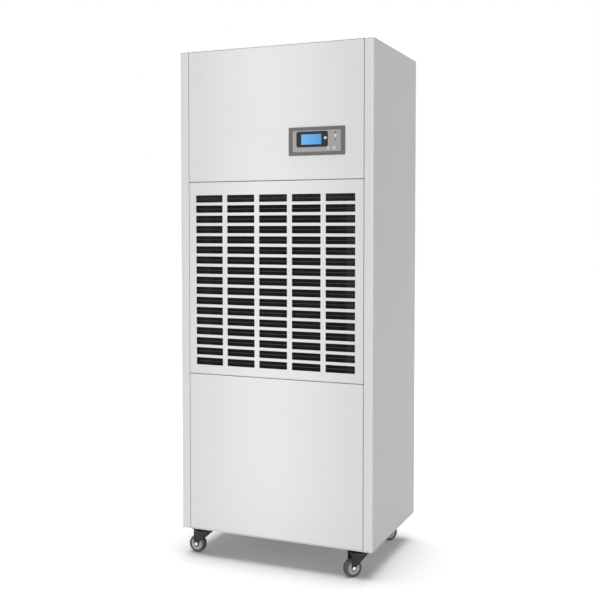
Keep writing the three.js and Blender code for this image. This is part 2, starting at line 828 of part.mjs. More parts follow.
const dischargeY = compressorY + 50;
const dischargeLine = pipe([
  [compressorX, compressorY, shellTop + outletRise + seat],
  [compressorX, compressorY, shellTop + lineRise],
  [compressorX, dischargeY, shellTop + lineRise],
  [dischargeX, dischargeY, shellTop + lineRise],
  [dischargeX, dischargeY, coilFoot + dischargeStub],
  [dischargeX, condenserY + stubRowY, coilFoot + dischargeStub],
  [lineStart, condenserY + stubRowY, coilFoot + dischargeStub],
], dischargeRadius, 14, 8);

const liquidX = dischargeX + 2;
const liquidY = condenserY + stubRowY;
const liquidLine = pipe([
  [lineStart, liquidY, coilFoot + liquidStub],
  [liquidX, liquidY, coilFoot + liquidStub],
  [liquidX, liquidY, coilFoot + evaporatorInlet],
  [liquidX, evaporatorY + stubRowY, coilFoot + evaporatorInlet],
  [lineStart, evaporatorY + stubRowY, coilFoot + evaporatorInlet],
], liquidRadius, 14, 8).add(turned([
  [0, 0], [5, 0], [drierRadius, 12], [drierRadius, drierLength - 12], [5, drierLength], [0, drierLength],
], [liquidX, liquidY, coilFoot + liquidStub + 60], 'z', 12));

add('suction_line', suctionLine, finishes.copper);
add('discharge_line', dischargeLine, finishes.copper);
add('liquid_line', liquidLine, finishes.copper);

// ---------------------------------------------------------------- fan

function voluteRadius(degrees) {
  const share = (degrees - voluteStartAngle) / (360 - voluteStartAngle);
  return voluteStartRadius + (voluteEndRadius - voluteStartRadius) * share;
}

function spiral(extra) {
  const points = [];
  const spiralSteps = 20;
  for (let i = 0; i <= spiralSteps; i += 1) {
    const degrees = voluteStartAngle + ((360 - voluteStartAngle) * i) / spiralSteps;
    const radius = voluteRadius(degrees) + extra;
    const angle = degrees * THREE.MathUtils.DEG2RAD;
    points.push([voluteY + radius * Math.cos(angle), voluteZ + radius * Math.sin(angle)]);
  }
  return points;
}

const throatTop = panelHead - throatGap;
const throatFront = voluteY + voluteStartRadius * Math.cos(voluteStartAngle * THREE.MathUtils.DEG2RAD);

// Scroll housing: a spiral wrap between two side plates with inlet eyes, a throat straight up, and
// a foot angle under each side plate that stands on the rails.
function fanVolute() {
  const w = volutePlate;
  const outerOutline = polygon([
    [throatFront - w, throatTop], ...spiral(w), [voluteY + voluteEndRadius + w, throatTop],
  ]);
  const innerOutline = polygon([
    [throatFront, throatTop + overshoot], ...spiral(0), [voluteY + voluteEndRadius, throatTop + overshoot],
  ]);
  const x = voluteHalfWidth;
  const footY0 = voluteY - voluteFootHalf;
  const footY1 = voluteY + voluteFootHalf;
  const footZ0 = railTop + seat;
  let housing = sidePrism(outerOutline, -x, x)
    .subtract(sidePrism(innerOutline, -x + w, x - w))
    .subtract(cylinder(voluteInletRadius, 2 * x + 10, [-x - 5, voluteY, voluteZ], 'x', 24));
  for (const side of [-1, 1]) {
    const wall = [side * x, side * (x + footWall)].sort((a, b) => a - b);
    const flange = [side * x, side * (x + voluteFootReach)].sort((a, b) => a - b);
    const foot = box(...wall, footY0, footY1, footZ0, footZ0 + voluteFootHeight)
      .add(box(...flange, footY0, footY1, footZ0, footZ0 + footWall));
    housing = housing.add(foot);
  }
  return housing;
}

function fanWheel() {
  const half = fanWheelHalfWidth;
  const r = fanWheelRadius;
  const ringWidth = 4;
  const parts = [
    turned([[0, -1.5], [r, -1.5], [r, 1.5], [0, 1.5]], [0, voluteY, voluteZ], 'x', 20),
    cylinder(fanHubRadius, fanHubLength, [-fanHubLength / 2, voluteY, voluteZ], 'x', 12),
    cylinder(shaftRadius, fanShaftLength, [-fanShaftReach, voluteY, voluteZ], 'x', 12),
  ];
  for (const x of [-half, half - ringWidth]) {
    parts.push(turned([
      [r - fanRing, 0], [r, 0], [r, ringWidth], [r - fanRing, ringWidth], [r - fanRing, 0],
    ], [x, voluteY, voluteZ], 'x', 20));
  }
  for (let i = 0; i < fanBlades; i += 1) {
    const blade = new THREE.BoxGeometry(2 * half - 2, fanBladeDepth, 1.2);
    blade.rotateX(fanBladeTilt * THREE.MathUtils.DEG2RAD);
    blade.translate(0, r - fanBladeDepth / 2 - 1, 0);
    blade.rotateX((i * 2 * Math.PI) / fanBlades);
    blade.translate(0, voluteY, voluteZ);
    parts.push(toSolid(blade));
  }
  return union(parts);
}

// External motor in the left inlet eye, on three arms that bolt to the housing's side plate.
function fanMotor() {
  const x0 = -voluteHalfWidth - motorLength + motorInside;
  const armX = -voluteHalfWidth - seat - motorArmThickness / 2;
  const armOuter = voluteInletRadius + motorArmLap;
  const armInner = motorRadius - motorArmRoot;
  const parts = [turned([
    [0, 0], [motorRadius - 8, 0], [motorRadius, 8],
    [motorRadius, motorLength - 8], [motorRadius - 8, motorLength],
    [0, motorLength],
  ], [x0, voluteY, voluteZ], 'x', 20)];
  for (let i = 0; i < 3; i += 1) {
    const arm = new THREE.BoxGeometry(motorArmThickness, armOuter - armInner, motorArmWidth);
    arm.translate(armX, (armOuter + armInner) / 2, 0);
    arm.rotateX((90 + 120 * i) * THREE.MathUtils.DEG2RAD);
    arm.translate(0, voluteY, voluteZ);
    parts.push(toSolid(arm));
  }
  const boreBase = [-fanShaftReach - overshoot, voluteY, voluteZ];
  const bore = cylinder(shaftRadius + runningGap, motorInside, boreBase, 'x', 24);
  return union(parts).subtract(bore);
}

add('fan_volute', fanVolute(), finishes.zinc);
add('fan_impeller', fanWheel(), finishes.zinc);
add('fan_motor', fanMotor(), finishes.blackSteel);

// ---------------------------------------------------------------- electrics

const plateX1 = insideX;
const plateX0 = insideX - electricalPlateThickness;
const plateY0 = (front + back) / 2 - electricalPlateDepth / 2;
const plateZ0 = railTop + 25;

const electricalPlate = box(plateX0, plateX1, plateY0, plateY0 + electricalPlateDepth,
  plateZ0, plateZ0 + electricalPlateHeight);
add('electrical_plate', electricalPlate, finishes.zinc);

const contactorX1 = plateX0 - seat;
const contactorY0 = plateY0 + 30;
const contactorZ0 = plateZ0 + 120;
add('contactor', union([
  box(contactorX1 - 42, contactorX1, contactorY0, contactorY0 + 48, contactorZ0, contactorZ0 + 76),
  box(contactorX1 - 62, contactorX1 - 40, contactorY0 + 4, contactorY0 + 44,
    contactorZ0 + 16, contactorZ0 + 60),
]), finishes.blackPlastic);

const capacitorY = plateY0 + 150;
add('run_capacitor', union([
  cylinder(capacitorRadius, capacitorLength,
    [contactorX1 - capacitorRadius - 3, capacitorY, plateZ0 + 60], 'z'),
  box(contactorX1 - 8, contactorX1, capacitorY - 30, capacitorY + 30, plateZ0 + 90, plateZ0 + 104),
]), finishes.aluminium);

// Cable gland: a lock nut inside, a neck through the back panel, and a domed cap with an open bore.
const glandEnd = glandReach - 2 * seat;
const glandSkirt = sheet + 8;
add('cable_gland', turned([
  [0, -glandInside], [glandNut, -glandInside], [glandNut, -seat], [spigotRadius, -seat],
  [spigotRadius, sheet + seat], [glandNut, sheet + seat], [glandNut, glandSkirt],
  [glandNut - 2, glandEnd - 3], [glandNut - 5, glandEnd],
  [glandBore, glandEnd], [glandBore, sheet + 3], [0, sheet + 3],
], [glandX, frontOfBack - sheet, glandZ], 'y', 12), finishes.blackPlastic);

// ---------------------------------------------------------------- control panel

const frameFront = front - displayProud;
const frameBack = front + sheet + displayBody - displayProud;
const displayX0 = displayCentreX - displayWidth / 2;
const displayX1 = displayCentreX + displayWidth / 2;
const displayZ0 = displayZ - displayHeight / 2;
const displayZ1 = displayZ + displayHeight / 2;
const plateFaceY = frameFront + faceplateRecess;

// Surround: a proud flange on the panel's face and a neck through the cut-out behind it.
function displayFrame() {
  const neck = displayFlange + seat;
  return union([
    box(displayX0, displayX1, frameFront, front - seat, displayZ0, displayZ1),
    box(displayX0 + neck, displayX1 - neck, front - seat - overshoot, frameBack,
      displayZ0 + neck, displayZ1 - neck),
  ]).subtract(box(displayX0 + displayRimX, displayX1 - displayRimX,
    frameFront - overshoot, frameBack + overshoot, displayZ0 + displayRimZ, displayZ1 - displayRimZ));
}

function windowBox(clearance, y0, y1) {
  const x = displayCentreX + windowOffsetX;
  const z = displayZ + windowOffsetZ;
  const halfX = windowWidth / 2 + clearance;
  const halfZ = windowHeight / 2 + clearance;
  const shape = roundedRect(x - halfX, x + halfX, z - halfZ, z + halfZ, windowCorner + clearance);
  return frontPrism(shape, y0, y1, 4);
}

function screenBox(clearance, y0, y1) {
  const x = displayCentreX + screenOffsetX;
  const z = displayZ + screenOffsetZ;
  const halfX = screenWidth / 2 + clearance;
  const halfZ = screenHeight / 2 + clearance;
  return box(x - halfX, x + halfX, y0, y1, z - halfZ, z + halfZ);
}

// Key centres are measured from the surround's centre.
const keys = [
  { name: 'power_key', x: 26.6, z: 7.5, radius: 5.2, sides: 4, proud: 1.2, material: finishes.white },
  { name: 'up_key', x: 55.6, z: 22.5, radius: 3, sides: 3, proud: 0.5, material: finishes.blackPlastic },
  { name: 'set_key', x: 55.6, z: 12.5, radius: 4, sides: 20, proud: 0.8, material: finishes.white },
  { name: 'down_key', x: 55.6, z: 2.5, radius: 3, sides: 3, proud: 0.5, material: finishes.blackPlastic },
  { name: 'mode_key', x: 34.6, z: -20.5, radius: 3.6, sides: 20, proud: 0.8, material: finishes.white },
  { name: 'fan_key', x: 52.6, z: -20.5, radius: 3.6, sides: 20, proud: 0.8, material: finishes.white },
];

// A key's outline about its own centre. Arrow keys point up or down, and the power key is a diamond.
function keyPrism(key, clearance, y0, y1) {
  const radius = key.radius + clearance * (key.sides === 3 ? 2 : 1.42);
  const turn = key.name === 'down_key' ? Math.PI : 0;
  const points = [];
  for (let i = 0; i < key.sides; i += 1) {
    const angle = Math.PI / 2 + turn + (i * 2 * Math.PI) / key.sides;
    points.push([
      displayCentreX + key.x + radius * Math.cos(angle),
      displayZ + key.z + radius * Math.sin(angle),
    ]);
  }
  return frontPrism(polygon(points), y0, y1);
}

const windowFront = plateFaceY - windowProud;
const windowBack = plateFaceY + faceplateThickness + 4;
const cutFront = windowFront - overshoot;
const cutBack = windowBack + overshoot;
const plateInsetX = displayRimX + seat;
const plateInsetZ = displayRimZ + seat;

let displayFaceplate = box(displayX0 + plateInsetX, displayX1 - plateInsetX, plateFaceY,
  plateFaceY + faceplateThickness, displayZ0 + plateInsetZ, displayZ1 - plateInsetZ)
  .subtract(windowBox(seat, cutFront, cutBack));
let displayWindow = windowBox(0, windowFront, windowBack).subtract(screenBox(seat, cutFront, cutBack));
for (const key of keys) {
  const shaft = keyPrism(key, keyGap, cutFront, cutBack);
  if (key.name === 'power_key') displayWindow = displayWindow.subtract(shaft);
  else displayFaceplate = displayFaceplate.subtract(shaft);
}

add('display_frame', displayFrame(), finishes.greyPlastic);
add('display_faceplate', displayFaceplate, finishes.palePlastic);
add('display_window', displayWindow, finishes.blackPlastic);
add('display_screen', screenBox(0, windowFront + screenRecess, windowBack + 2), finishes.screen);
for (const key of keys) {
  const face = key.name === 'power_key' ? windowFront : plateFaceY;
  add(key.name, keyPrism(key, 0, face - key.proud, face + faceplateThickness + keyStem), key.material);
}

// ---------------------------------------------------------------- casters

const casterAngles = { front_left: 180, front_right: 227, rear_left: 200, rear_right: 227 };
const crownTop = casterHeight - casterPlateThickness - raceDepth;
const crownBottom = crownTop - forkCrownDepth;
const legInner = wheelWidth / 2 + forkSideGap;
const legOuter = legInner + forkLeg;

// Top plate with four bolt holes and the upper bearing race under it. The race holds the king pin.
function casterPlate() {
  const half = casterPlateSide / 2;
  const hole = half - casterBoltInset;
  const plateTop = casterHeight - seat;
  const plateFoot = plateTop - casterPlateThickness;
  let plate = prism(roundedRect(-half, half, -half, half, 6), plateFoot, plateTop, 3);
  for (const x of [-hole, hole]) {
    for (const y of [-hole, hole]) {
      const length = casterPlateThickness + 2 * overshoot;
      plate = plate.subtract(cylinder(casterBoltRadius, length, [x, y, plateFoot - overshoot], 'z', 8));
    }
  }
  const raceFoot = crownTop + runningGap;
  const race = turned([
    [0, raceFoot], [raceRadius - 6, raceFoot], [raceRadius, crownTop + 3], [raceRadius, plateTop - 1.5],
    [0, plateTop - 1.5],
  ], [0, 0, 0], 'z', 12);
  const pinHead = crownBottom - runningGap;
  const kingPin = turned([
    [0, crownBottom - 4], [kingPinHead, crownBottom - 4], [kingPinHead, pinHead], [kingPinRadius, pinHead],
    [kingPinRadius, crownTop + 2], [0, crownTop + 2],
  ], [0, 0, 0], 'z', 8);
  return union([plate, race, kingPin]);
}

// Pressed fork: a dished crown and two legs that taper to the axle.
function casterFork() {
  const bore = kingPinRadius + runningGap;
  const crown = turned([
    [bore, crownBottom], [forkCrownRadius - 7, crownBottom], [forkCrownRadius, crownTop - 3],
    [forkCrownRadius, crownTop], [bore, crownTop], [bore, crownBottom],
  ], [0, 0, 0], 'z', 18);
  const legShape = new THREE.Shape();
  const eye = forkEye;
  legShape.moveTo(-forkCrownRadius + 5, crownBottom + 4);
  legShape.lineTo(forkCrownRadius - 5, crownBottom + 4);
  legShape.lineTo(casterTrail + eye * 0.95, wheelRadius + eye * 0.35);
  legShape.absarc(casterTrail, wheelRadius, eye, 0.3, -Math.PI - 0.3, true);
  legShape.lineTo(-forkCrownRadius + 5, crownBottom - 4);
  const parts = [crown];
  for (const y of [-legOuter, legInner]) {
    parts.push(frontPrism(legShape, y, y + forkLeg, 5));
  }
  const reach = legOuter + overshoot;
  const axleHole = cylinder(axleRadius + seat, 2 * reach, [casterTrail, -reach, wheelRadius], 'y', 10);
  return union(parts).subtract(axleHole);
}

// Tyre moulded on a dished rim with a plain bore.
function casterWheel() {
  const r = wheelRadius;
  const w = wheelWidth / 2;
  const bore = axleRadius + runningGap;
  const hub = hubRadius;
  const hubFace = w + 0.8;
  const rim = r - tyreWall;
  return turned([
    [bore, -hubFace], [hub, -hubFace], [hub, -w + 2], [rim, -w + 3], [rim + 2, -w + 0.5], [r - 3, -w],
    [r, -w + 3], [r, w - 3], [r - 3, w], [rim + 2, w - 0.5], [rim, w - 3], [hub, w - 2], [hub, hubFace],
    [bore, hubFace], [bore, -hubFace],
  ], [casterTrail, 0, r], 'y', 20);
}

function casterAxle() {
  const reach = legOuter + seat;
  return turned([
    [0, -reach - 3], [axleHeadRadius * 0.6, -reach - 3],
    [axleHeadRadius, -reach - 1], [axleHeadRadius, -reach],
    [axleRadius, -reach], [axleRadius, reach], [axleHeadRadius, reach], [axleHeadRadius, reach + 1],
    [axleHeadRadius * 0.6, reach + 3], [0, reach + 3],
  ], [casterTrail, 0, wheelRadius], 'y', 10);
}

for (const [corner, degrees] of Object.entries(casterAngles)) {
  const x = corner.endsWith('left') ? -halfWidth + casterInsetX : halfWidth - casterInsetX;
  const y = corner.startsWith('front') ? front + casterInsetY : back - casterInsetY;
  const mount = new THREE.Group();
  mount.position.set(x, y, 0);
  const swivel = new THREE.Group();
  swivel.rotation.z = degrees * THREE.MathUtils.DEG2RAD;
  mount.add(swivel);
  dehumidifier.add(mount);
  add(`caster_plate_${corner}`, casterPlate(), finishes.blackSteel, mount);
  add(`caster_fork_${corner}`, casterFork(), finishes.blackSteel, swivel);
  add(`caster_wheel_${corner}`, casterWheel(), finishes.rubber, swivel);
  add(`caster_axle_${corner}`, casterAxle(), finishes.steel, swivel);
}

export default dehumidifier;
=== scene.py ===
import json
import math

import bmesh
import bpy
from mathutils import Matrix, Vector


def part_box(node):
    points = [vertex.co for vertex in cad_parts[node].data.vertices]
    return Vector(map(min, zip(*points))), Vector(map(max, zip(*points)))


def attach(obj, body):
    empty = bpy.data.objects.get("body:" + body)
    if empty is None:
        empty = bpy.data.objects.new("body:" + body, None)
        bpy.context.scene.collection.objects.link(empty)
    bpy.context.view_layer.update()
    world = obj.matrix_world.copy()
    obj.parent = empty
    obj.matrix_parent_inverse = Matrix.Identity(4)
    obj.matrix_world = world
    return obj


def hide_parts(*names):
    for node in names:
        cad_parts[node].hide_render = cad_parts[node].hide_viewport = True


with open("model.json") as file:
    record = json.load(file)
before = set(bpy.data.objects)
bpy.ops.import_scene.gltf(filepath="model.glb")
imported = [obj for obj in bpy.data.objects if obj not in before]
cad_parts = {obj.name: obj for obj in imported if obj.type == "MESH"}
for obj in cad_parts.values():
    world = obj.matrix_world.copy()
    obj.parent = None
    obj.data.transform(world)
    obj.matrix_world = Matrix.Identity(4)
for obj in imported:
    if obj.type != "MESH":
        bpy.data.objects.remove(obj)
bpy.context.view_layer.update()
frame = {"nodes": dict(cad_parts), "record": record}
nodes = frame["nodes"]
mm = 0.001
across, rear, up = Vector((1, 0, 0)), Vector((0, 1, 0)), Vector((0, 0, 1))
corners = ("front_left", "front_right", "rear_left", "rear_right")

# ---- camera: a metre up, to the front right, almost level

camera = {"place": (1.1139, -2.6601, 0.9787), "turn": 0.3988, "tilt": -0.0426,
          "lens": 56.64, "sensor": 36.0, "rise": -0.0525}


def placed(name, data):
    obj = bpy.data.objects.new(name, data)
    bpy.context.scene.collection.objects.link(obj)
    return obj


def makeCamera():
    data = bpy.data.cameras.new("camera")
    data.lens = camera["lens"]
    data.sensor_width = camera["sensor"]
    data.shift_y = camera["rise"]
    obj = placed("camera", data)
    obj.location = camera["place"]
    obj.rotation_euler = (math.pi / 2 + camera["tilt"], 0, camera["turn"])
    bpy.context.scene.camera = obj


makeCamera()
bpy.context.scene.view_settings.view_transform = "Standard"
print("camera placed")

# ---- material helpers


def linear(hexColour):
    channels = [int(hexColour[i:i + 2], 16) / 255 for i in (1, 3, 5)]
    return [c / 12.92 if c <= 0.04045 else ((c + 0.055) / 1.055) ** 2.4 for c in channels] + [1.0]


def shades(hexColour, share):
    # the colour made darker and lighter by a share
    base = linear(hexColour)[:3]
    return [c * (1 - share) for c in base] + [1.0], [min(c * (1 + share), 1.0) for c in base] + [1.0]


def newMaterial(name):
    material = bpy.data.materials.new(name)
    material.use_nodes = True
    material.node_tree.nodes.clear()
    return material


def addNode(owner, kind, inputs=None, **settings):
    # inputs: socket name or number -> a value, or another node's output
    node = owner.node_tree.nodes.new(kind)
    for name, value in settings.items():
        setattr(node, name, value)
    for key, value in (inputs or {}).items():
        if isinstance(value, bpy.types.NodeSocket):
            owner.node_tree.links.new(value, node.inputs[key])
        else:
            node.inputs[key].default_value = value
    return node


def objectPlace(material):
    return addNode(material, "ShaderNodeTexCoord").outputs["Object"]


def noise(material, place, size, detail=2.0):
    texture = addNode(material, "ShaderNodeTexNoise",
                      {"Vector": place, "Scale": 1 / size, "Detail": detail})
    return texture.outputs["Fac"]


def blend(material, share, low, high):
    return addNode(material, "ShaderNodeMix", {0: share, 6: low, 7: high}, data_type="RGBA").outputs[2]


def between(material, value, low, high, start=0.0, end=1.0):
    # from low to high while the value goes from start to end
    spread = addNode(material, "ShaderNodeMapRange", {
        "Value": value, "From Min": start, "From Max": end, "To Min": low, "To Max": high})
    return spread.outputs["Result"]


def relief(material, height, depth, strength=1.0):
    bump = addNode(material, "ShaderNodeBump", {"Height": height, "Strength": strength, "Distance": depth})
    return bump.outputs["Normal"]


def surfaced(material, inputs):
    shader = addNode(material, "ShaderNodeBsdfPrincipled", inputs)
    addNode(material, "ShaderNodeOutputMaterial", {"Surface": shader.outputs[0]})
    return material


def moulded(name, hexColour, roughness, grain, depth, ior=1.5, tint=0.08, polish=0.06, coat=0.0):
    # colour and gloss that drift a little over 90 mm, and a grain of the given size and depth
    material = newMaterial(name)
    place = objectPlace(material)
    drift = noise(material, place, 90 * mm, 3.0)
    inputs = {"Base Color": blend(material, drift, *shades(hexColour, tint)), "IOR": ior,
              "Roughness": between(material, drift, roughness - polish, roughness + polish, 0.3, 0.7),
              "Normal": relief(material, noise(material, place, grain), depth)}
    if coat:
        inputs.update({"Coat Weight": coat, "Coat Roughness": 0.08})
    return surfaced(material, inputs)


def brushedMetal(name, hexColour, roughness, width, length, streak=0.12):
    # rolled or brushed metal: fine lines of the given width and length, run along Z
    material = newMaterial(name)
    stretched = addNode(material, "ShaderNodeMapping", {
        "Vector": objectPlace(material), "Scale": (1 / width, 1 / width, 1 / length)})
    lines = noise(material, stretched.outputs[0], 1.0, 3.0)
    return surfaced(material, {
        "Base Color": blend(material, lines, *shades(hexColour, streak)), "Metallic": 1.0,
        "Roughness": between(material, lines, roughness * 0.75, roughness * 1.25),
        "Normal": relief(material, lines, 0.02 * mm, 0.4)})


def spangledZinc():
    # hot-dip galvanised sheet, bare: metal crystals 6 mm across, each with its own shade and gloss
    material = newMaterial("galvanisedSteelHotDipped")
    place = objectPlace(material)
    wander = addNode(material, "ShaderNodeTexNoise", {"Vector": place, "Scale": 1 / (4 * mm)})
    bent = addNode(material, "ShaderNodeMix", {0: 0.0008, 4: place, 5: wander.outputs["Color"]},
                   data_type="VECTOR")
    crystal = addNode(material, "ShaderNodeTexVoronoi", {"Vector": bent.outputs[1], "Scale": 1 / (6 * mm)})
    shade = addNode(material, "ShaderNodeSeparateColor", {"Color": crystal.outputs["Color"]})
    return surfaced(material, {
        "Base Color": blend(material, shade.outputs[0], linear("#9da3a8"), linear("#c3c8cb")),
        "Metallic": 1.0, "Roughness": between(material, shade.outputs[1], 0.32, 0.55)})


def backlitScreen(low, high):
    # liquid crystal over a blue light guide: paler on the lamp side, with a faint grid of cells
    material = newMaterial("liquidCrystalBacklit")
    place = objectPlace(material)
    axes = addNode(material, "ShaderNodeSeparateXYZ", {"Vector": place})
    side = between(material, axes.outputs["X"], 0.0, 1.0, low.x, high.x)
    glow = blend(material, side, linear("#5aa5d6"), linear("#3a86c4"))
    upright = addNode(material, "ShaderNodeMapping", {"Vector": place, "Rotation": (math.pi / 2, 0, 0)})
    cells = addNode(material, "ShaderNodeTexBrick", {
        "Vector": upright.outputs[0], "Color1": (1, 1, 1, 1), "Color2": (0.93, 0.95, 0.97, 1),
        "Mortar": (0.86, 0.9, 0.94, 1), "Scale": 1.0, "Mortar Size": 0.06 * mm, "Brick Width": 1.2 * mm,
        "Row Height": 1.2 * mm}, offset=0.0)
    tinted = addNode(material, "ShaderNodeMix", {0: 1.0, 6: glow, 7: cells.outputs["Color"]},
                     data_type="RGBA", blend_type="MULTIPLY").outputs[2]
    return surfaced(material, {
        "Base Color": tinted, "Roughness": 0.25, "Emission Color": tinted, "Emission Strength": 0.35})


def clearHose():
    # plasticised vinyl, extruded: milky, with a soft gloss
    material = newMaterial("vinylHoseExtruded")
    haze = noise(material, objectPlace(material), 12 * mm, 3.0)
    return surfaced(material, {
        "Base Color": blend(material, haze, linear("#b9bfbe"), linear("#d3d8d6")), "Roughness": 0.28,
        "IOR": 1.53, "Transmission Weight": 0.45})


def handledCopper():
    # drawn copper tube, handled: bright with brown bloom in patches
    material = newMaterial("copperTubeDrawn")
    bloom = noise(material, objectPlace(material), 35 * mm, 5.0)
    return surfaced(material, {
        "Base Color": blend(material, bloom, linear("#c58660"), linear("#8f5a3e")), "Metallic": 1.0,
        "Roughness": between(material, bloom, 0.2, 0.5)})


finishes = {
    # polyester powder, sprayed and oven cured: a faint orange peel, drawn 2 mm wide so that it shows
    "powder": moulded("powderCoatedSteelOvenCured", "#e2e2e2", 0.42, 2 * mm, 0.02 * mm, tint=0.012,
                      polish=0.04),
    "zinc": spangledZinc(),
    # polypropylene, injection moulded: dull and slightly grained
    "filterPlastic": moulded("polypropyleneInjectionMoulded", "#1b1b1c", 0.5, 0.8 * mm, 0.03 * mm),
    # nylon yarn, woven and heat set: near black, dull with fibre ends
    "filterNet": moulded("nylonNetWoven", "#0b0b0c", 0.86, 0.5 * mm, 0.05 * mm, ior=1.53),
    # aluminium foil, rolled, with a grey water-shedding coat
    "fin": brushedMetal("aluminiumFinRolled", "#a9adb0", 0.4, 1.5 * mm, 40 * mm),
    # the cold coil's foil: its near black is painted shade that keeps the grille's slot interiors dark
    "coldFin": moulded("aluminiumFinBlackPaintedShade", "#0d0e0f", 0.74, 3 * mm, 0.02 * mm),
    # stainless steel sheet, brushed upright: fine lines, soft gloss
    "stainless": brushedMetal("stainlessSteelBrushed", "#a6a7a6", 0.3, 0.6 * mm, 60 * mm),
    "hose": clearHose(),
    # acrylonitrile butadiene styrene, moulded, black
    "blackPlastic": moulded("absMouldedBlack", "#19191b", 0.42, 0.6 * mm, 0.02 * mm, ior=1.54),
    # alkyd enamel sprayed on steel: glossy with slow waves
    "enamel": moulded("alkydEnamelSprayed", "#131315", 0.22, 5 * mm, 0.04 * mm, coat=0.3),
    # neoprene, compression moulded: dull black
    "grommet": moulded("neopreneMoulded", "#1e1e1f", 0.75, 0.7 * mm, 0.04 * mm, ior=1.52),
    "copper": handledCopper(),
    # surround: moulded with a spark-eroded grain
    "surround": moulded("absMouldedSparkEroded", "#5d5d5e", 0.5, 0.5 * mm, 0.05 * mm, ior=1.54),
    # faceplate: polycarbonate film with a printed grey, matt
    "faceplate": moulded("polycarbonateFilmPrinted", "#9b9b9a", 0.42, 0.4 * mm, 0.02 * mm, ior=1.58,
                         tint=0.04),
    # window: acrylic, cast and tinted: near black, deep gloss
    "window": moulded("acrylicCastSmoked", "#111116", 0.09, 20 * mm, 0.01 * mm, ior=1.49, polish=0.02),
    "screen": backlitScreen(*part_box("display_screen")),
    # keys: silicone caps with a hard varnish
    "paleKey": moulded("siliconeVarnishedPale", "#d9d9d6", 0.35, 0.5 * mm, 0.02 * mm, ior=1.43),
    "darkKey": moulded("siliconeVarnishedDark", "#3a3a3c", 0.4, 0.5 * mm, 0.02 * mm, ior=1.43),
    # pressed steel, electrophoretic black: thin even paint over a slightly rippled pressing
    # on the cold coil's end plates this same black is painted shade behind the grille's slots
    "bracket": moulded("pressedSteelBlackDippedAndPaintedShade", "#0e0e0f", 0.55, 3 * mm, 0.05 * mm),
    # thermoplastic rubber, injection moulded: matt dark grey with scuffs
    "tyre": moulded("thermoplasticRubberMoulded", "#4a4a4b", 0.66, 1.2 * mm, 0.08 * mm, ior=1.52,
                    tint=0.14),
    # polypropylene, injection moulded, pale grey
    "rim": moulded("polypropyleneMouldedGrey", "#b3b3b0", 0.45, 0.9 * mm, 0.03 * mm),
    # steel, nickel plated: bright, with fine upright lines
    "axle": brushedMetal("steelNickelPlated", "#cfd0d0", 0.22, 0.5 * mm, 8 * mm, streak=0.06),
}
slotFinish = {"powder_coat": "powder", "zinc_plated_steel": "zinc", "filter_plastic": "filterPlastic",
              "filter_net": "filterNet", "coil_aluminium": "fin", "stainless_steel": "stainless",
              "clear_hose": "hose", "black_plastic": "blackPlastic", "black_enamel": "enamel",
              "grommet_rubber": "grommet", "copper_tube": "copper", "grey_surround": "surround",
              "grey_faceplate": "faceplate", "dark_window": "window", "blue_screen": "screen",
              "pale_key": "paleKey", "dark_key": "darkKey", "caster_bracket": "bracket",
              "caster_tyre": "tyre", "bright_axle": "axle"}
print("materials made")

# ---- shaping helpers


def loopOf(bm, points, closed=True):
    verts = [bm.verts.new(p) for p in points]
    pairs = list(zip(verts, verts[1:]))
    if closed:
        pairs.append((verts[-1], verts[0]))
    for pair in pairs:
        bm.edges.new(pair)
    return verts


def roundCorners(bm, verts, radius, segments=4):
    bmesh.ops.bevel(bm, geom=verts, offset=radius, segments=segments, profile=0.5, affect="VERTICES",
                    material=-1)


def moveMade(bm, made, away):
    bmesh.ops.translate(bm, verts=[item for item in made if isinstance(item, bmesh.types.BMVert)], vec=away)


def finishPiece(bm, name, slot, hides=(), body="cabinet", finish=None, wall=0.0, edge=0.0, segments=2,
                sharp=40.0, limit=50.0):
    # the finish is the slot's own unless another is named
    mesh = bpy.data.meshes.new(name)
    for face in bm.faces:
        face.smooth = True
    bm.to_mesh(mesh)
    bm.free()
    mesh.materials.append(finishes[finish or slotFinish[slot]])
    piece = placed(name, mesh)
    if wall:
        skin = piece.modifiers.new("wall", "SOLIDIFY")
        skin.thickness = wall
        skin.offset = -1
        skin.use_even_offset = True
    if edge:
        soften = piece.modifiers.new("edge", "BEVEL")
        soften.width = edge
        soften.segments = segments
        soften.limit_method = "ANGLE"
        soften.angle_limit = math.radians(limit)
        soften.use_clamp_overlap = True
    else:
        mesh.set_sharp_from_angle(angle=math.radians(sharp))
    flat = piece.modifiers.new("flat", "WEIGHTED_NORMAL")
    flat.keep_sharp = True
    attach(piece, body)
    if hides:
        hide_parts(*hides)
    return piece


def boxInto(bm, low, high):
    low, high = Vector(low), Vector(high)
    place = Matrix.LocRotScale((low + high) / 2, None, high - low)
    return bmesh.ops.create_cube(bm, size=1.0, matrix=place)["verts"]


def spun(bm, points, centre, axis, steps=48, closed=False, soften=0.0, segments=3):
    # points: (radius, distance along the axis) pairs; ends on the axis close themselves
    side = axis.orthogonal().normalized()
    before = set(bm.verts)
    verts = loopOf(bm, [centre + side * r + axis * a for r, a in points], closed)
    if soften:
        roundCorners(bm, verts if closed else verts[1:-1], soften, segments)
    fresh = [v for v in bm.verts if v not in before]
    edges = [e for e in bm.edges if e.verts[0] not in before]
    bmesh.ops.spin(bm, geom=fresh + edges, cent=centre, axis=axis, dvec=(0, 0, 0), angle=2 * math.pi,
                   steps=steps, use_merge=True, use_duplicate=False)
    made = [v for v in bm.verts if v not in before]
    bmesh.ops.remove_doubles(bm, verts=made, dist=0.002 * mm)
    faces = [f for f in bm.faces if f.verts[0] not in before]
    bmesh.ops.recalc_face_normals(bm, faces=faces)
    return faces


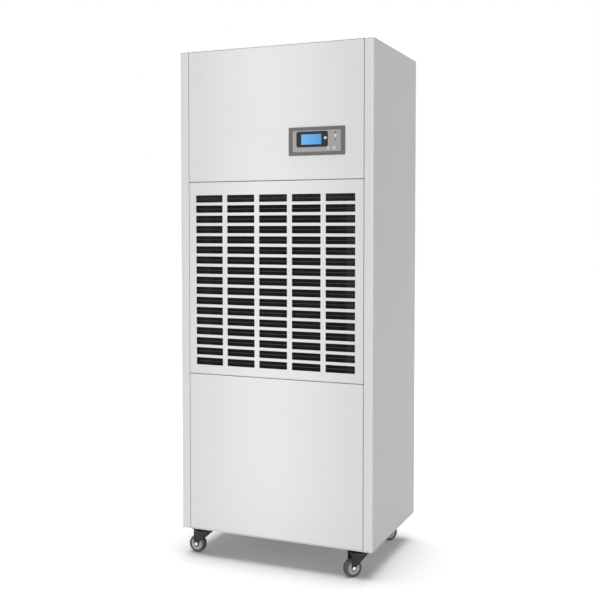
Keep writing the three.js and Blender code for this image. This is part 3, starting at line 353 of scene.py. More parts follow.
def slabInto(bm, points, away, corner=0.0, segments=4):
    # a flat plate: an outline with rounded corners, pulled through its thickness
    before = set(bm.verts)
    verts = loopOf(bm, points)
    if corner:
        roundCorners(bm, verts, corner, segments)
    edges = [e for e in bm.edges if e.verts[0] not in before]
    face = bmesh.ops.contextual_create(bm, geom=edges)["faces"][0]
    pulled = bmesh.ops.extrude_face_region(bm, geom=[face], use_keep_orig=True)["geom"]
    moveMade(bm, pulled, away)
    faces = [f for f in bm.faces if f.verts[0] not in before]
    bmesh.ops.recalc_face_normals(bm, faces=faces)
    return faces


def ringInto(bm, outer, inner, away, outerCorner=0.0, innerCorner=0.0):
    # a flat plate with one opening through it
    before = set(bm.verts)
    for points, corner in ((outer, outerCorner), (inner, innerCorner)):
        verts = loopOf(bm, points)
        if corner:
            roundCorners(bm, verts, corner)
    edges = [e for e in bm.edges if e.verts[0] not in before]
    bmesh.ops.triangle_fill(bm, use_beauty=True, edges=edges)
    face = [f for f in bm.faces if f.verts[0] not in before]
    pulled = bmesh.ops.extrude_face_region(bm, geom=face, use_keep_orig=True)["geom"]
    moveMade(bm, pulled, away)
    faces = [f for f in bm.faces if f.verts[0] not in before]
    bmesh.ops.recalc_face_normals(bm, faces=faces)


def cutOpenings(bm, face, outlines, corner):
    # the flat face becomes one with rounded openings through it
    normal = face.normal.copy()
    rim = list(face.edges)
    bmesh.ops.delete(bm, geom=[face], context="FACES_ONLY")
    before = set(bm.verts)
    for outline in outlines:
        roundCorners(bm, loopOf(bm, outline), corner, 3)
    cuts = [e for e in bm.edges if e.verts[0] not in before]
    made = bmesh.ops.triangle_fill(bm, use_beauty=True, edges=rim + cuts, normal=normal)["geom"]
    for item in made:
        if isinstance(item, bmesh.types.BMFace) and item.normal.dot(normal) < 0:
            item.normal_flip()


def rectangle(x0, x1, z0, z1, y):
    return [(x0, y, z0), (x1, y, z0), (x1, y, z1), (x0, y, z1)]


def level(x0, x1, y0, y1, z):
    return [(x0, y0, z), (x1, y0, z), (x1, y1, z), (x0, y1, z)]


def pipeInto(bm, points, radius, bend, sides=16):
    # a round tube along straight runs with rounded bends
    route = bmesh.new()
    verts = loopOf(route, points, closed=False)
    if bend:
        roundCorners(route, verts[1:-1], bend, 8)
    route.verts.ensure_lookup_table()
    ends = [v for v in route.verts if len(v.link_edges) == 1]
    start = min(ends, key=lambda v: (v.co - Vector(points[0])).length)
    chain, previous, current = [start.co.copy()], None, start
    while True:
        following = [e.other_vert(current) for e in current.link_edges
                     if e.other_vert(current) is not previous]
        if not following:
            break
        previous, current = current, following[0]
        chain.append(current.co.copy())
    route.free()
    curve = bpy.data.curves.new("route", "CURVE")
    curve.dimensions = "3D"
    curve.bevel_depth = radius
    curve.bevel_resolution = sides // 4
    curve.use_fill_caps = True
    spline = curve.splines.new("POLY")
    spline.points.add(len(chain) - 1)
    for point, place in zip(spline.points, chain):
        point.co = (*place, 1)
    holder = bpy.data.objects.new("route", curve)
    mesh = holder.to_mesh()
    bm.from_mesh(mesh)
    holder.to_mesh_clear()
    bpy.data.objects.remove(holder)
    bpy.data.curves.remove(curve)


# ---- casing: folded sheets with real fold radii

casing = {"sheet": 1.2 * mm, "fold": 2.4 * mm, "cornerRadius": 7 * mm, "strip": 27 * mm, "rebate": 19 * mm,
          "lip": 15 * mm, "rearReturn": 25 * mm, "cutEdge": 0.25 * mm,
          "clearance": 0.3 * mm, "baseSheet": 2 * mm, "rearHole": 8.6 * mm}
slots = {"columns": 5, "rows": 17, "width": 87 * mm, "height": 21.3 * mm, "pitchX": 102.2 * mm,
         "pitchZ": 29.82 * mm, "above": 27.1 * mm, "corner": 1.3 * mm}
outlet = {"rows": 8, "height": 14 * mm, "pitch": 25 * mm, "corner": 3 * mm}

display = {"rimX": 11.5 * mm, "rimZ": 9 * mm, "chamfer": 1.0 * mm, "gap": 0.3 * mm, "windowCorner": 5 * mm,
           "opening": 5 * mm, "neck": 5.3 * mm, "keyEdge": 0.45 * mm}

sideLow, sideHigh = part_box("right_side_panel")
frontY, backY = sideLow.y, sideHigh.y
halfWidth = sideHigh.x


def sidePanel(name, sign):
    c = casing
    inner = halfWidth - c["strip"]
    path = [(inner - c["lip"], frontY + c["rebate"]), (inner, frontY + c["rebate"]), (inner, frontY),
            (halfWidth, frontY), (halfWidth, backY), (halfWidth - c["rearReturn"], backY)]
    bm = bmesh.new()
    verts = loopOf(bm, [(sign * x, y, sideLow.z) for x, y in path], closed=False)
    for i, radius in ((1, c["fold"]), (2, c["fold"]), (3, c["cornerRadius"]), (4, c["fold"] * 1.4)):
        roundCorners(bm, [verts[i]], radius, 8 if i == 3 else 5)
    made = bmesh.ops.extrude_edge_only(bm, edges=bm.edges[:])["geom"]
    moveMade(bm, made, (0, 0, sideHigh.z - sideLow.z))
    bmesh.ops.recalc_face_normals(bm, faces=bm.faces)
    outerFace = max(bm.faces, key=lambda f: f.calc_area())
    if outerFace.normal.x * sign < 0:
        bmesh.ops.reverse_faces(bm, faces=bm.faces)
    finishPiece(bm, name + "_folded", "powder_coat", [name], wall=c["sheet"], edge=c["cutEdge"])


def trayShell(low, high):
    bm = bmesh.new()
    boxInto(bm, low, high)
    rearFace = max(bm.faces, key=lambda f: f.calc_center_median().y)
    bmesh.ops.delete(bm, geom=[rearFace], context="FACES_ONLY")
    folds = [e for e in bm.edges if not e.is_boundary]
    bmesh.ops.bevel(bm, geom=folds, offset=casing["fold"], segments=5, profile=0.5, affect="EDGES",
                    material=-1)
    return bm, min(bm.faces, key=lambda f: f.calc_center_median().y)


def frontPanel(name, body, outlines=(), corner=1 * mm):
    low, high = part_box(name)
    bm, face = trayShell(low, high)
    if outlines:
        cutOpenings(bm, face, outlines, corner)
    finishPiece(bm, name + "_folded", "powder_coat", [name], body=body, wall=casing["sheet"],
                edge=casing["cutEdge"])


def grilleOutlines():
    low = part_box("intake_grille_panel")[0]
    outlines = []
    for column in range(slots["columns"]):
        x = (column - (slots["columns"] - 1) / 2) * slots["pitchX"]
        for row in range(slots["rows"]):
            z = low.z + slots["above"] + row * slots["pitchZ"]
            outlines.append(rectangle(x - slots["width"] / 2, x + slots["width"] / 2, z,
                                      z + slots["height"], low.y))
    return outlines


def topSheet():
    low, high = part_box("top_panel")
    middle = (low.y + high.y) / 2
    bm = bmesh.new()
    verts = loopOf(bm, level(low.x, high.x, low.y, high.y, high.z))
    roundCorners(bm, verts[:2], casing["cornerRadius"], 8)
    face = bmesh.ops.contextual_create(bm, geom=bm.edges[:])["faces"][0]
    if face.normal.z < 0:
        face.normal_flip()
    outlines = []
    for column in range(slots["columns"]):
        x = (column - (slots["columns"] - 1) / 2) * slots["pitchX"]
        for row in range(outlet["rows"]):
            y = middle + (row - (outlet["rows"] - 1) / 2) * outlet["pitch"]
            outlines.append(level(x - slots["width"] / 2, x + slots["width"] / 2, y - outlet["height"] / 2,
                                  y + outlet["height"] / 2, high.z))
    cutOpenings(bm, face, outlines, outlet["corner"])
    finishPiece(bm, "top_panel_sheet", "powder_coat", ["top_panel"], wall=casing["sheet"],
                edge=casing["cutEdge"])
    skirt(low.z, high.z - casing["sheet"], "top_panel_skirt", casing["sheet"])


def skirt(z0, z1, name, wall):
    # the upright flanges inside the cabinet, as one folded band
    reach = casing["sheet"] + casing["clearance"]
    x = halfWidth - reach
    y0 = frontY + casing["rebate"] + reach
    y1 = backY - 2 * reach
    bm = bmesh.new()
    verts = loopOf(bm, level(-x, x, y0, y1, z0))
    roundCorners(bm, verts, 2 * mm)
    made = bmesh.ops.extrude_edge_only(bm, edges=bm.edges[:])["geom"]
    moveMade(bm, made, (0, 0, z1 - z0))
    bmesh.ops.recalc_face_normals(bm, faces=bm.faces)
    if max(bm.faces, key=lambda f: f.calc_center_median().x).normal.x < 0:
        bmesh.ops.reverse_faces(bm, faces=bm.faces)
    finishPiece(bm, name, "powder_coat", wall=wall, edge=casing["cutEdge"])


def baseSheet():
    low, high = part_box("base_tray")
    thickness = casing["baseSheet"]
    bm = bmesh.new()
    verts = loopOf(bm, level(low.x, high.x, low.y, high.y, low.z))
    roundCorners(bm, verts[:2], casing["cornerRadius"], 8)
    face = bmesh.ops.contextual_create(bm, geom=bm.edges[:])["faces"][0]
    made = bmesh.ops.extrude_face_region(bm, geom=[face], use_keep_orig=True)["geom"]
    moveMade(bm, made, (0, 0, thickness))
    bmesh.ops.recalc_face_normals(bm, faces=bm.faces)
    finishPiece(bm, "base_tray_sheet", "powder_coat", ["base_tray"], edge=0.6 * mm)
    skirt(low.z + thickness, high.z, "base_tray_skirt", thickness)


def backSheet():
    low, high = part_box("back_panel")
    spigot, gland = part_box("drain_spigot"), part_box("cable_gland")
    bm = bmesh.new()
    loopOf(bm, rectangle(low.x, high.x, low.z, high.z, high.y))
    face = bmesh.ops.contextual_create(bm, geom=bm.edges[:])["faces"][0]
    if face.normal.y < 0:
        face.normal_flip()
    holes = []
    for near, far in (spigot, gland):
        x, z = (near.x + far.x) / 2, (near.z + far.z) / 2
        r = casing["rearHole"]
        holes.append([(x + r * math.cos(i * math.pi / 12), high.y, z + r * math.sin(i * math.pi / 12))
                      for i in range(24)])
    cutOpenings(bm, face, holes, 0.2 * mm)
    finishPiece(bm, "back_panel_sheet", "powder_coat", ["back_panel"], wall=casing["sheet"])


def displayOpening():
    low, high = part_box("display_frame")
    edge = display["opening"]
    return rectangle(low.x + edge, high.x - edge, low.z + edge, high.z - edge,
                     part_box("upper_front_panel")[0].y)


sidePanel("right_side_panel", 1)
sidePanel("left_side_panel", -1)
frontPanel("upper_front_panel", "cabinet", [displayOpening()])
frontPanel("intake_grille_panel", "grille_unit", grilleOutlines(), slots["corner"])
frontPanel("lower_front_panel", "cabinet")
topSheet()
baseSheet()
backSheet()
print("casing folded")

# ---- screws: pan heads with a cross recess, on the rear returns

screw = {"head": 4.2 * mm, "rise": 1.9 * mm, "slot": 0.55 * mm, "reach": 2.1 * mm,
         "perSide": 7, "fromEdge": 12.5 * mm, "fromEnd": 40 * mm}


def crossHead(bm, place):
    s = screw
    dome = [(0, s["rise"]), (s["head"] * 0.45, s["rise"] * 0.94), (s["head"] * 0.85, s["rise"] * 0.6),
            (s["head"], s["rise"] * 0.15), (s["head"], 0), (0, 0)]
    spun(bm, dome, place, rear, steps=20)
    for size in ((s["reach"], s["slot"]), (s["slot"], s["reach"])):
        boxInto(bm, place + Vector((-size[0], s["rise"] - 0.3 * mm, -size[1])),
                place + Vector((size[0], s["rise"] + 0.05 * mm, size[1])))


def rearScrews():
    bm = bmesh.new()
    for sign in (-1, 1):
        for i in range(screw["perSide"]):
            share = i / (screw["perSide"] - 1)
            z = sideLow.z + screw["fromEnd"] + share * (sideHigh.z - sideLow.z - 2 * screw["fromEnd"])
            crossHead(bm, Vector((sign * (halfWidth - screw["fromEdge"]), backY, z)))
    finishPiece(bm, "rear_screws", "zinc_plated_steel", sharp=35)


rearScrews()
print("screws set")

# ---- casters: plate, bearing dome, pressed fork, tyre on a rim, axle with a domed head

caster = {"plate": 30 * mm, "plateCorner": 6 * mm, "plateThick": 3 * mm, "bolt": 22 * mm,
          "boltHead": 5 * mm,
          "raceRadius": 22 * mm, "crown": 27 * mm, "crownDrop": 10 * mm, "leg": 2.5 * mm, "eye": 8.5 * mm,
          "trail": 20 * mm, "radius": 26 * mm, "half": 10 * mm, "rim": 18 * mm, "gap": 1.5 * mm,
          "forkHalf": 28 * mm, "bore": 5 * mm, "rimBore": 4.4 * mm, "axleHead": 6.5 * mm,
          "crownRise": 0.35 * mm}
angles = {"front_left": 180, "front_right": 227, "rear_left": 200, "rear_right": 227}


def casterSeat(corner):
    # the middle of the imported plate, taken to the floor, and the height of its top
    low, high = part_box("caster_plate_" + corner)
    return Vector(((low.x + high.x) / 2, (low.y + high.y) / 2, 0)), high.z


def casterTurn(corner):
    # where the caster stands and how it is swivelled
    return Matrix.Translation(casterSeat(corner)[0]) @ Matrix.Rotation(math.radians(angles[corner]), 4, "Z")


def casterTop(corner):
    centre, top = casterSeat(corner)
    c = caster
    bm = bmesh.new()
    square = level(-c["plate"], c["plate"], -c["plate"], c["plate"], top - c["plateThick"])
    slabInto(bm, square, (0, 0, c["plateThick"]), c["plateCorner"], 5)
    raceTop = top - c["plateThick"]
    spun(bm, [(0, raceTop), (c["raceRadius"], raceTop), (c["raceRadius"], raceTop - 2 * mm),
              (c["raceRadius"] - 5 * mm, raceTop - 4.6 * mm), (0, raceTop - 4.6 * mm)],
         Vector((0, 0, 0)), up, steps=40, soften=0.8 * mm)
    for x in (-c["bolt"], c["bolt"]):
        for y in (-c["bolt"], c["bolt"]):
            spun(bm, [(0, raceTop), (c["boltHead"], raceTop), (c["boltHead"], raceTop - 3.2 * mm),
                      (c["boltHead"] * 0.8, raceTop - 3.8 * mm), (0, raceTop - 3.8 * mm)],
                 Vector((x, y, 0)), up, steps=6)
    spun(bm, [(0, 60 * mm), (7.6 * mm, 60 * mm), (7.6 * mm, 63.6 * mm), (4.6 * mm, 63.6 * mm),
              (4.6 * mm, raceTop - 4 * mm), (0, raceTop - 4 * mm)], Vector((0, 0, 0)), up, steps=24,
         soften=0.5 * mm)
    bmesh.ops.translate(bm, verts=bm.verts, vec=centre)
    finishPiece(bm, f"caster_plate_{corner}_pressed", "caster_bracket", [f"caster_plate_{corner}"],
                edge=0.35 * mm, limit=40)


def casterFork(corner):
    top = casterSeat(corner)[1]
    c = caster
    crownTop = top + 0.3 * mm - c["plateThick"] - 5 * mm
    crownFoot = crownTop - c["crownDrop"]
    bm = bmesh.new()
    bore = c["bore"]
    spun(bm, [(bore, crownTop), (c["crown"] - 3 * mm, crownTop), (c["crown"], crownTop - 3 * mm),
              (c["crown"], crownFoot), (c["crown"] - c["leg"], crownFoot),
              (c["crown"] - c["leg"], crownTop - 3.4 * mm),
              (c["crown"] - 4.4 * mm, crownTop - c["leg"]), (bore, crownTop - c["leg"])],
         Vector((0, 0, 0)), up, steps=48, closed=True, soften=0.6 * mm)
    wide, outer = c["forkHalf"], c["half"] + c["gap"] + c["leg"]
    boxInto(bm, (-wide, -outer, crownTop - c["leg"] - 0.5 * mm), (wide, outer, crownTop - 0.5 * mm))
    for side in (-1, 1):
        inner = side * (c["half"] + c["gap"])
        eyeX, eyeZ, eye = c["trail"], c["radius"], c["eye"]
        outline = [(-wide, inner, crownTop - 1 * mm), (wide, inner, crownTop - 1 * mm),
                   (wide, inner, crownFoot + 4 * mm)]
        for i in range(13):
            angle = math.radians(8 - i * 222 / 12)
            outline.append((eyeX + eye * math.cos(angle), inner, eyeZ + eye * math.sin(angle)))
        outline.append((-wide, inner, crownFoot + 4 * mm))
        slabInto(bm, outline, (0, side * c["leg"], 0))
    bmesh.ops.transform(bm, matrix=casterTurn(corner), verts=bm.verts)
    finishPiece(bm, f"caster_fork_{corner}_pressed", "caster_bracket", [f"caster_fork_{corner}"],
                body=f"fork_{corner}", edge=0.45 * mm, limit=40)


def casterWheel(corner):
    turn = casterTurn(corner)
    c = caster
    hub = Vector((c["trail"], 0, c["radius"]))
    r, w, rim = c["radius"], c["half"], c["rim"]
    tyre = bmesh.new()
    crownRise = c["crownRise"]
    profile = [(rim - 0.6 * mm, -w + 2.2 * mm), (rim + 1 * mm, -w + 0.9 * mm), (r - 4 * mm, -w),
               (r - 1.2 * mm, -w + 1.6 * mm),
               (r - crownRise, -w * 0.45), (r, -0.6 * mm), (r - 0.5 * mm, 0), (r, 0.6 * mm),
               (r - crownRise, w * 0.45),
               (r - 1.2 * mm, w - 1.6 * mm), (r - 4 * mm, w), (rim + 1 * mm, w - 0.9 * mm),
               (rim - 0.6 * mm, w - 2.2 * mm)]
    spun(tyre, profile, hub, rear, steps=72, closed=True)
    bmesh.ops.transform(tyre, matrix=turn, verts=tyre.verts)
    finishPiece(tyre, f"caster_tyre_{corner}", "caster_tyre", [f"caster_wheel_{corner}"],
                body=f"wheel_{corner}", sharp=50)
    rimShape = bmesh.new()
    bore = c["rimBore"]
    face = w - 1.8 * mm
    dish = [(bore, -w - 0.7 * mm), (7.6 * mm, -w - 0.7 * mm), (8.4 * mm, -face + 3 * mm),
            (10.5 * mm, -face + 3.4 * mm),
            (rim - 2.2 * mm, -face + 0.6 * mm), (rim, -face), (rim, face),
            (rim - 2.2 * mm, face - 0.6 * mm),
            (10.5 * mm, face - 3.4 * mm), (8.4 * mm, face - 3 * mm), (7.6 * mm, w + 0.7 * mm),
            (bore, w + 0.7 * mm)]
    spun(rimShape, dish, hub, rear, steps=64, closed=True, soften=0.35 * mm, segments=2)
    bmesh.ops.transform(rimShape, matrix=turn, verts=rimShape.verts)
    finishPiece(rimShape, f"caster_rim_{corner}", "caster_tyre", body=f"wheel_{corner}", finish="rim",
                sharp=45)


def casterAxle(corner):
    c = caster
    hub = Vector((c["trail"], 0, c["radius"]))
    reach = c["half"] + c["gap"] + c["leg"] + 0.1 * mm
    bm = bmesh.new()
    head = c["axleHead"]
    spun(bm, [(0, -reach - 3.4 * mm), (head * 0.45, -reach - 3.2 * mm), (head * 0.82, -reach - 2.2 * mm),
              (head, -reach - 0.7 * mm), (head, -reach), (4 * mm, -reach), (4 * mm, reach), (head, reach),
              (head, reach + 0.7 * mm), (head * 0.82, reach + 2.2 * mm), (head * 0.45, reach + 3.2 * mm),
              (0, reach + 3.4 * mm)], hub, rear, steps=32)
    bmesh.ops.transform(bm, matrix=casterTurn(corner), verts=bm.verts)
    finishPiece(bm, f"caster_axle_{corner}_turned", "bright_axle", [f"caster_axle_{corner}"],
                body=f"fork_{corner}", sharp=50)


for cornerName in corners:
    casterTop(cornerName)
    casterFork(cornerName)
    casterWheel(cornerName)
    casterAxle(cornerName)
print("casters made")

# ---- control panel: surround, printed faceplate, smoked window, screen and keys


def surround():
    low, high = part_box("display_frame")
    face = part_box("upper_front_panel")[0].y
    d = display
    bm = bmesh.new()
    ringInto(bm, rectangle(low.x, high.x, low.z, high.z, face),
             rectangle(low.x + d["rimX"], high.x - d["rimX"], low.z + d["rimZ"], high.z - d["rimZ"], face),
             (0, low.y - face, 0), 1.6 * mm, 2 * mm)
    frontEdges = [e for e in bm.edges if all(abs(v.co.y - low.y) < 0.01 * mm for v in e.verts)
                  and e.calc_face_angle(0) > 1]
    bmesh.ops.bevel(bm, geom=frontEdges, offset=d["chamfer"], segments=3, profile=0.5, affect="EDGES",
                    material=-1)
    finishPiece(bm, "display_surround", "grey_surround", ["display_frame"], sharp=50)
    neck = bmesh.new()
    edge = d["neck"]
    ringInto(neck, rectangle(low.x + edge, high.x - edge, low.z + edge, high.z - edge, face),
             rectangle(low.x + d["rimX"], high.x - d["rimX"], low.z + d["rimZ"], high.z - d["rimZ"], face),
             (0, high.y - face, 0))
    finishPiece(neck, "display_surround_neck", "grey_surround", edge=0.3 * mm)


def flatRing(name, slot, outer, inner, y, thickness, outerCorner, innerCorner, edge):
    bm = bmesh.new()
    ringInto(bm, rectangle(*outer, y), rectangle(*inner, y), (0, thickness, 0), outerCorner, innerCorner)
    finishPiece(bm, name + "_cut", slot, [name], edge=edge)


def faceplate():
    low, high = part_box("display_faceplate")
    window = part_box("display_window")
    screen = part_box("display_screen")
    g = display["gap"]
    flatRing("display_faceplate", "grey_faceplate", (low.x, high.x, low.z, high.z),
             (window[0].x - g, window[1].x + g, window[0].z - g, window[1].z + g), low.y, high.y - low.y,
             1.5 * mm, display["windowCorner"] + g, 0.3 * mm)
    flatRing("display_window", "dark_window", (window[0].x, window[1].x, window[0].z, window[1].z),
             (screen[0].x - g, screen[1].x + g, screen[0].z - g, screen[1].z + g), window[0].y, 4 * mm,
             display["windowCorner"], 0.8 * mm, 0.35 * mm)
    bm = bmesh.new()
    slabInto(bm, rectangle(screen[0].x, screen[1].x, screen[0].z, screen[1].z, screen[0].y),
             (0, 1.5 * mm, 0), 0.6 * mm)
    finishPiece(bm, "display_screen_panel", "blue_screen", ["display_screen"], edge=0.15 * mm)


def keyCap(name, slot, sides, turn=0.0):
    low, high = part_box(name)
    x, z = (low.x + high.x) / 2, (low.z + high.z) / 2
    radius = (high.z - low.z) / 2
    if sides == 3:
        radius = (high.x - low.x) / math.sqrt(3)
        z = high.z - radius if turn == 0 else low.z + radius
    points = []
    for i in range(sides):
        angle = math.pi / 2 + turn + i * 2 * math.pi / sides
        points.append((x + radius * math.cos(angle), low.y, z + radius * math.sin(angle)))
    bm = bmesh.new()
    slabInto(bm, points, (0, high.y - low.y, 0), 0.6 * mm if sides < 6 else 0, 3)
    finishPiece(bm, name + "_cap", slot, [name], body=name + "_cap", edge=display["keyEdge"], segments=3,
                limit=40)


surround()
faceplate()
keyCap("power_key", "pale_key", 4)
for keyName in ("set_key", "mode_key", "fan_key"):
    keyCap(keyName, "pale_key", 32)
keyCap("up_key", "dark_key", 3)
keyCap("down_key", "dark_key", 3, math.pi)
print("control panel made")

# ---- filter: a moulded frame, retaining bars in line with the slots, and a woven net behind them

filterKit = {"rim": 16 * mm, "bar": 1.8 * mm, "barDepth": 2.2 * mm,
             "strand": 0.34 * mm, "netPitch": 2.2 * mm}


def filterUnit():
    f, s = filterKit, slots
    low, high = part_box("filter_frame")
    bm = bmesh.new()
    ringInto(bm, rectangle(low.x, high.x, low.z, high.z, low.y),
             rectangle(low.x + f["rim"], high.x - f["rim"], low.z + f["rim"], high.z - f["rim"], low.y),
             (0, high.y - low.y, 0), 2 * mm, 1.5 * mm)
    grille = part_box("intake_grille_panel")[0]
    inner = f["rim"] - 1 * mm
    for row in range(s["rows"]):
        z = grille.z + s["above"] + row * s["pitchZ"] + s["height"] / 2
        boxInto(bm, (low.x + inner, low.y + 0.2 * mm, z - f["bar"] / 2),
                (high.x - inner, low.y + f["barDepth"], z + f["bar"] / 2))
    for column in range(s["columns"] - 1):
        x = (column - (s["columns"] - 2) / 2) * s["pitchX"]
        boxInto(bm, (x - f["bar"], low.y + 0.2 * mm, low.z + inner),
                (x + f["bar"], low.y + 3 * mm, high.z - inner))
    finishPiece(bm, "filter_frame_moulded", "filter_plastic", ["filter_frame"], body="grille_unit",
                edge=0.3 * mm)
    netLow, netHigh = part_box("filter_mesh")
    net = bmesh.new()
    y = low.y + f["barDepth"] + 1.2 * mm
    strand, pitch = f["strand"], f["netPitch"]
    for i in range(int((netHigh.x - netLow.x) / pitch)):
        x = netLow.x + (i + 0.5) * pitch
        boxInto(net, (x - strand / 2, y, netLow.z), (x + strand / 2, y + strand, netHigh.z))
    for i in range(int((netHigh.z - netLow.z) / pitch)):
        z = netLow.z + (i + 0.5) * pitch
        boxInto(net, (netLow.x, y + strand * 0.7, z - strand / 2),
                (netHigh.x, y + strand * 1.7, z + strand / 2))
    finishPiece(net, "filter_net_woven", "filter_net", ["filter_mesh"], body="grille_unit", sharp=30)


filterUnit()
print("filter made")

# ---- coils: end plates with folded edges, a stack of thin fins, hairpins and return bends

coil = {"finLeft": 239.5 * mm, "finRight": 215.5 * mm, "plate": 2 * mm, "flange": 12 * mm,
        "finPitch": 2.6 * mm,
        "finThick": 0.3 * mm, "finInset": 3 * mm, "finFoot": 14 * mm, "finHead": 4 * mm, "tube": 4.8 * mm,
        "bends": 4, "margin": 12 * mm, "reach": 16 * mm, "bendRow": 18 * mm, "stubRow": 42 * mm,
        "stub": 26 * mm}


def returnBend(bm, x, y, z, rise, sign):
    c = coil
    reach = c["reach"] - c["tube"] * 0.2
    points = [(x - sign * c["plate"], y, z), (x + sign * reach, y, z), (x + sign * reach, y, z + rise),
              (x - sign * c["plate"], y, z + rise)]
    pipeInto(bm, points, c["tube"] * 0.98, min(reach, rise / 2) * 0.98, 12)


def coilUnit(name, stubs, plateFinish, finFinish):
    c = coil
    low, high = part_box(name)
    y0, y1 = low.y, high.y
    ends = bmesh.new()
    for x, inward in ((-c["finLeft"], 1), (c["finRight"], -1)):
        outer = x - inward * c["plate"]
        boxInto(ends, (min(x, outer), y0, low.z), (max(x, outer), y1, high.z))
        for y in (y0, y1 - c["plate"] * 0.6):
            boxInto(ends, (min(x, x + inward * c["flange"]), y, low.z + 8 * mm),
                    (max(x, x + inward * c["flange"]), y + c["plate"] * 0.6, high.z - 1 * mm))
    finishPiece(ends, name + "_end_plates", "zinc_plated_steel", [name], finish=plateFinish, edge=0.4 * mm)
    fins = bmesh.new()
    count = int((c["finLeft"] + c["finRight"] - 4 * mm) / c["finPitch"])
    for i in range(count):
        x = -c["finLeft"] + 2 * mm + (i + 0.5) * c["finPitch"]
        boxInto(fins, (x, y0 + c["finInset"], low.z + c["finFoot"]),
                (x + c["finThick"], y1 - c["finInset"], high.z - c["finHead"]))
    finishPiece(fins, name + "_fins", "coil_aluminium", finish=finFinish, sharp=30)
    tubes = bmesh.new()
    height = high.z - low.z
    pitch = (height - c["finFoot"] - 2.5 * c["margin"]) / (c["bends"] * 2)
    for row in range(c["bends"]):
        z = low.z + c["finFoot"] + c["margin"] + row * pitch * 2
        for x, sign in ((-c["finLeft"] - c["plate"], -1), (c["finRight"] + c["plate"], 1)):
            returnBend(tubes, x, y0 + c["bendRow"], z, pitch, sign)
    for z in stubs:
        spun(tubes, [(0, 0), (c["tube"], 0), (c["tube"], c["stub"]), (0, c["stub"])],
             Vector((c["finRight"], y0 + c["stubRow"], low.z + z)), across, steps=20)
    finishPiece(tubes, name + "_bends", "copper_tube", sharp=50)


def airSeals():
    # black sheets that close the gaps beside the cold coil, so that the air goes through it
    low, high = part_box("evaporator_coil")
    y = low.y - 2 * mm
    inside = halfWidth - 2.4 * mm
    bm = bmesh.new()
    for x0, x1 in ((-inside, -coil["finLeft"]), (coil["finRight"], inside)):
        boxInto(bm, (x0, y, low.z), (x1, y + 1.2 * mm, high.z))
        wall = x0 if x0 < 0 else x1 - 1.2 * mm
        boxInto(bm, (wall, y, low.z), (wall + 1.2 * mm, y + 14 * mm, high.z))
    finishPiece(bm, "coil_air_seals", "zinc_plated_steel", finish="bracket", edge=0.3 * mm)


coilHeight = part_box("evaporator_coil")[1].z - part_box("evaporator_coil")[0].z
suctionStub, inletStub = coilHeight - 40 * mm, coilHeight - 240 * mm
dischargeStub, liquidStub = coilHeight - 100 * mm, 60 * mm
# the cold coil's black end plates and near-black fins are painted shade behind the grille's slots
coilUnit("evaporator_coil", (suctionStub, inletStub), "bracket", "coldFin")
coilUnit("condenser_coil", (dischargeStub, liquidStub), "zinc", "fin")
airSeals()
print("coils made")

# ---- pressed sheet parts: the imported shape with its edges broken


def pressed(name, slot="zinc_plated_steel", edge=0.35 * mm):
    bm = bmesh.new()
    bm.from_mesh(nodes[name].data)
    bmesh.ops.dissolve_limit(bm, angle_limit=math.radians(1), verts=bm.verts, edges=bm.edges)
    finishPiece(bm, name + "_pressed", slot, [name], edge=edge)


for barName in ("fan_rail_front", "fan_rail_rear", "lower_crossbar", "upper_crossbar"):
    pressed(barName)
pressed("electrical_plate", edge=0.3 * mm)
pressed("drain_pan", "stainless_steel", 0.4 * mm)
print("brackets pressed")

# ---- fan: scroll housing with rolled inlets, forward-curved wheel, motor on three arms

fan = {"wheel": 120 * mm, "half": 100 * mm, "ring": 10 * mm, "blades": 40, "bladeDepth": 20 * mm,
       "housing": 118 * mm, "tight": 134 * mm, "loose": 192 * mm, "eye": 98 * mm, "start": 70,
       "sheet": 1.5 * mm,
       "footHalf": 95 * mm, "footHeight": 50 * mm, "footReach": 22 * mm, "footWall": 2 * mm,
       "shaft": 7.6 * mm}
wheelLow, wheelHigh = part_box("fan_impeller")
hubPoint = Vector((0, (wheelLow.y + wheelHigh.y) / 2, (wheelLow.z + wheelHigh.z) / 2))


def scrollPoint(degrees, x):
    f = fan
    share = (degrees - f["start"]) / (360 - f["start"])
    radius = f["tight"] + (f["loose"] - f["tight"]) * share + f["sheet"]
    angle = math.radians(degrees)
    return Vector((x, hubPoint.y + radius * math.cos(angle), hubPoint.z + radius * math.sin(angle)))


def scrollPoints(x):
    f = fan
    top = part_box("fan_volute")[1].z
    steps = 44
    swept = [scrollPoint(f["start"] + (360 - f["start"]) * i / steps, x) for i in range(steps + 1)]
    return [Vector((x, swept[0].y, top)), *swept, Vector((x, swept[-1].y, top))]


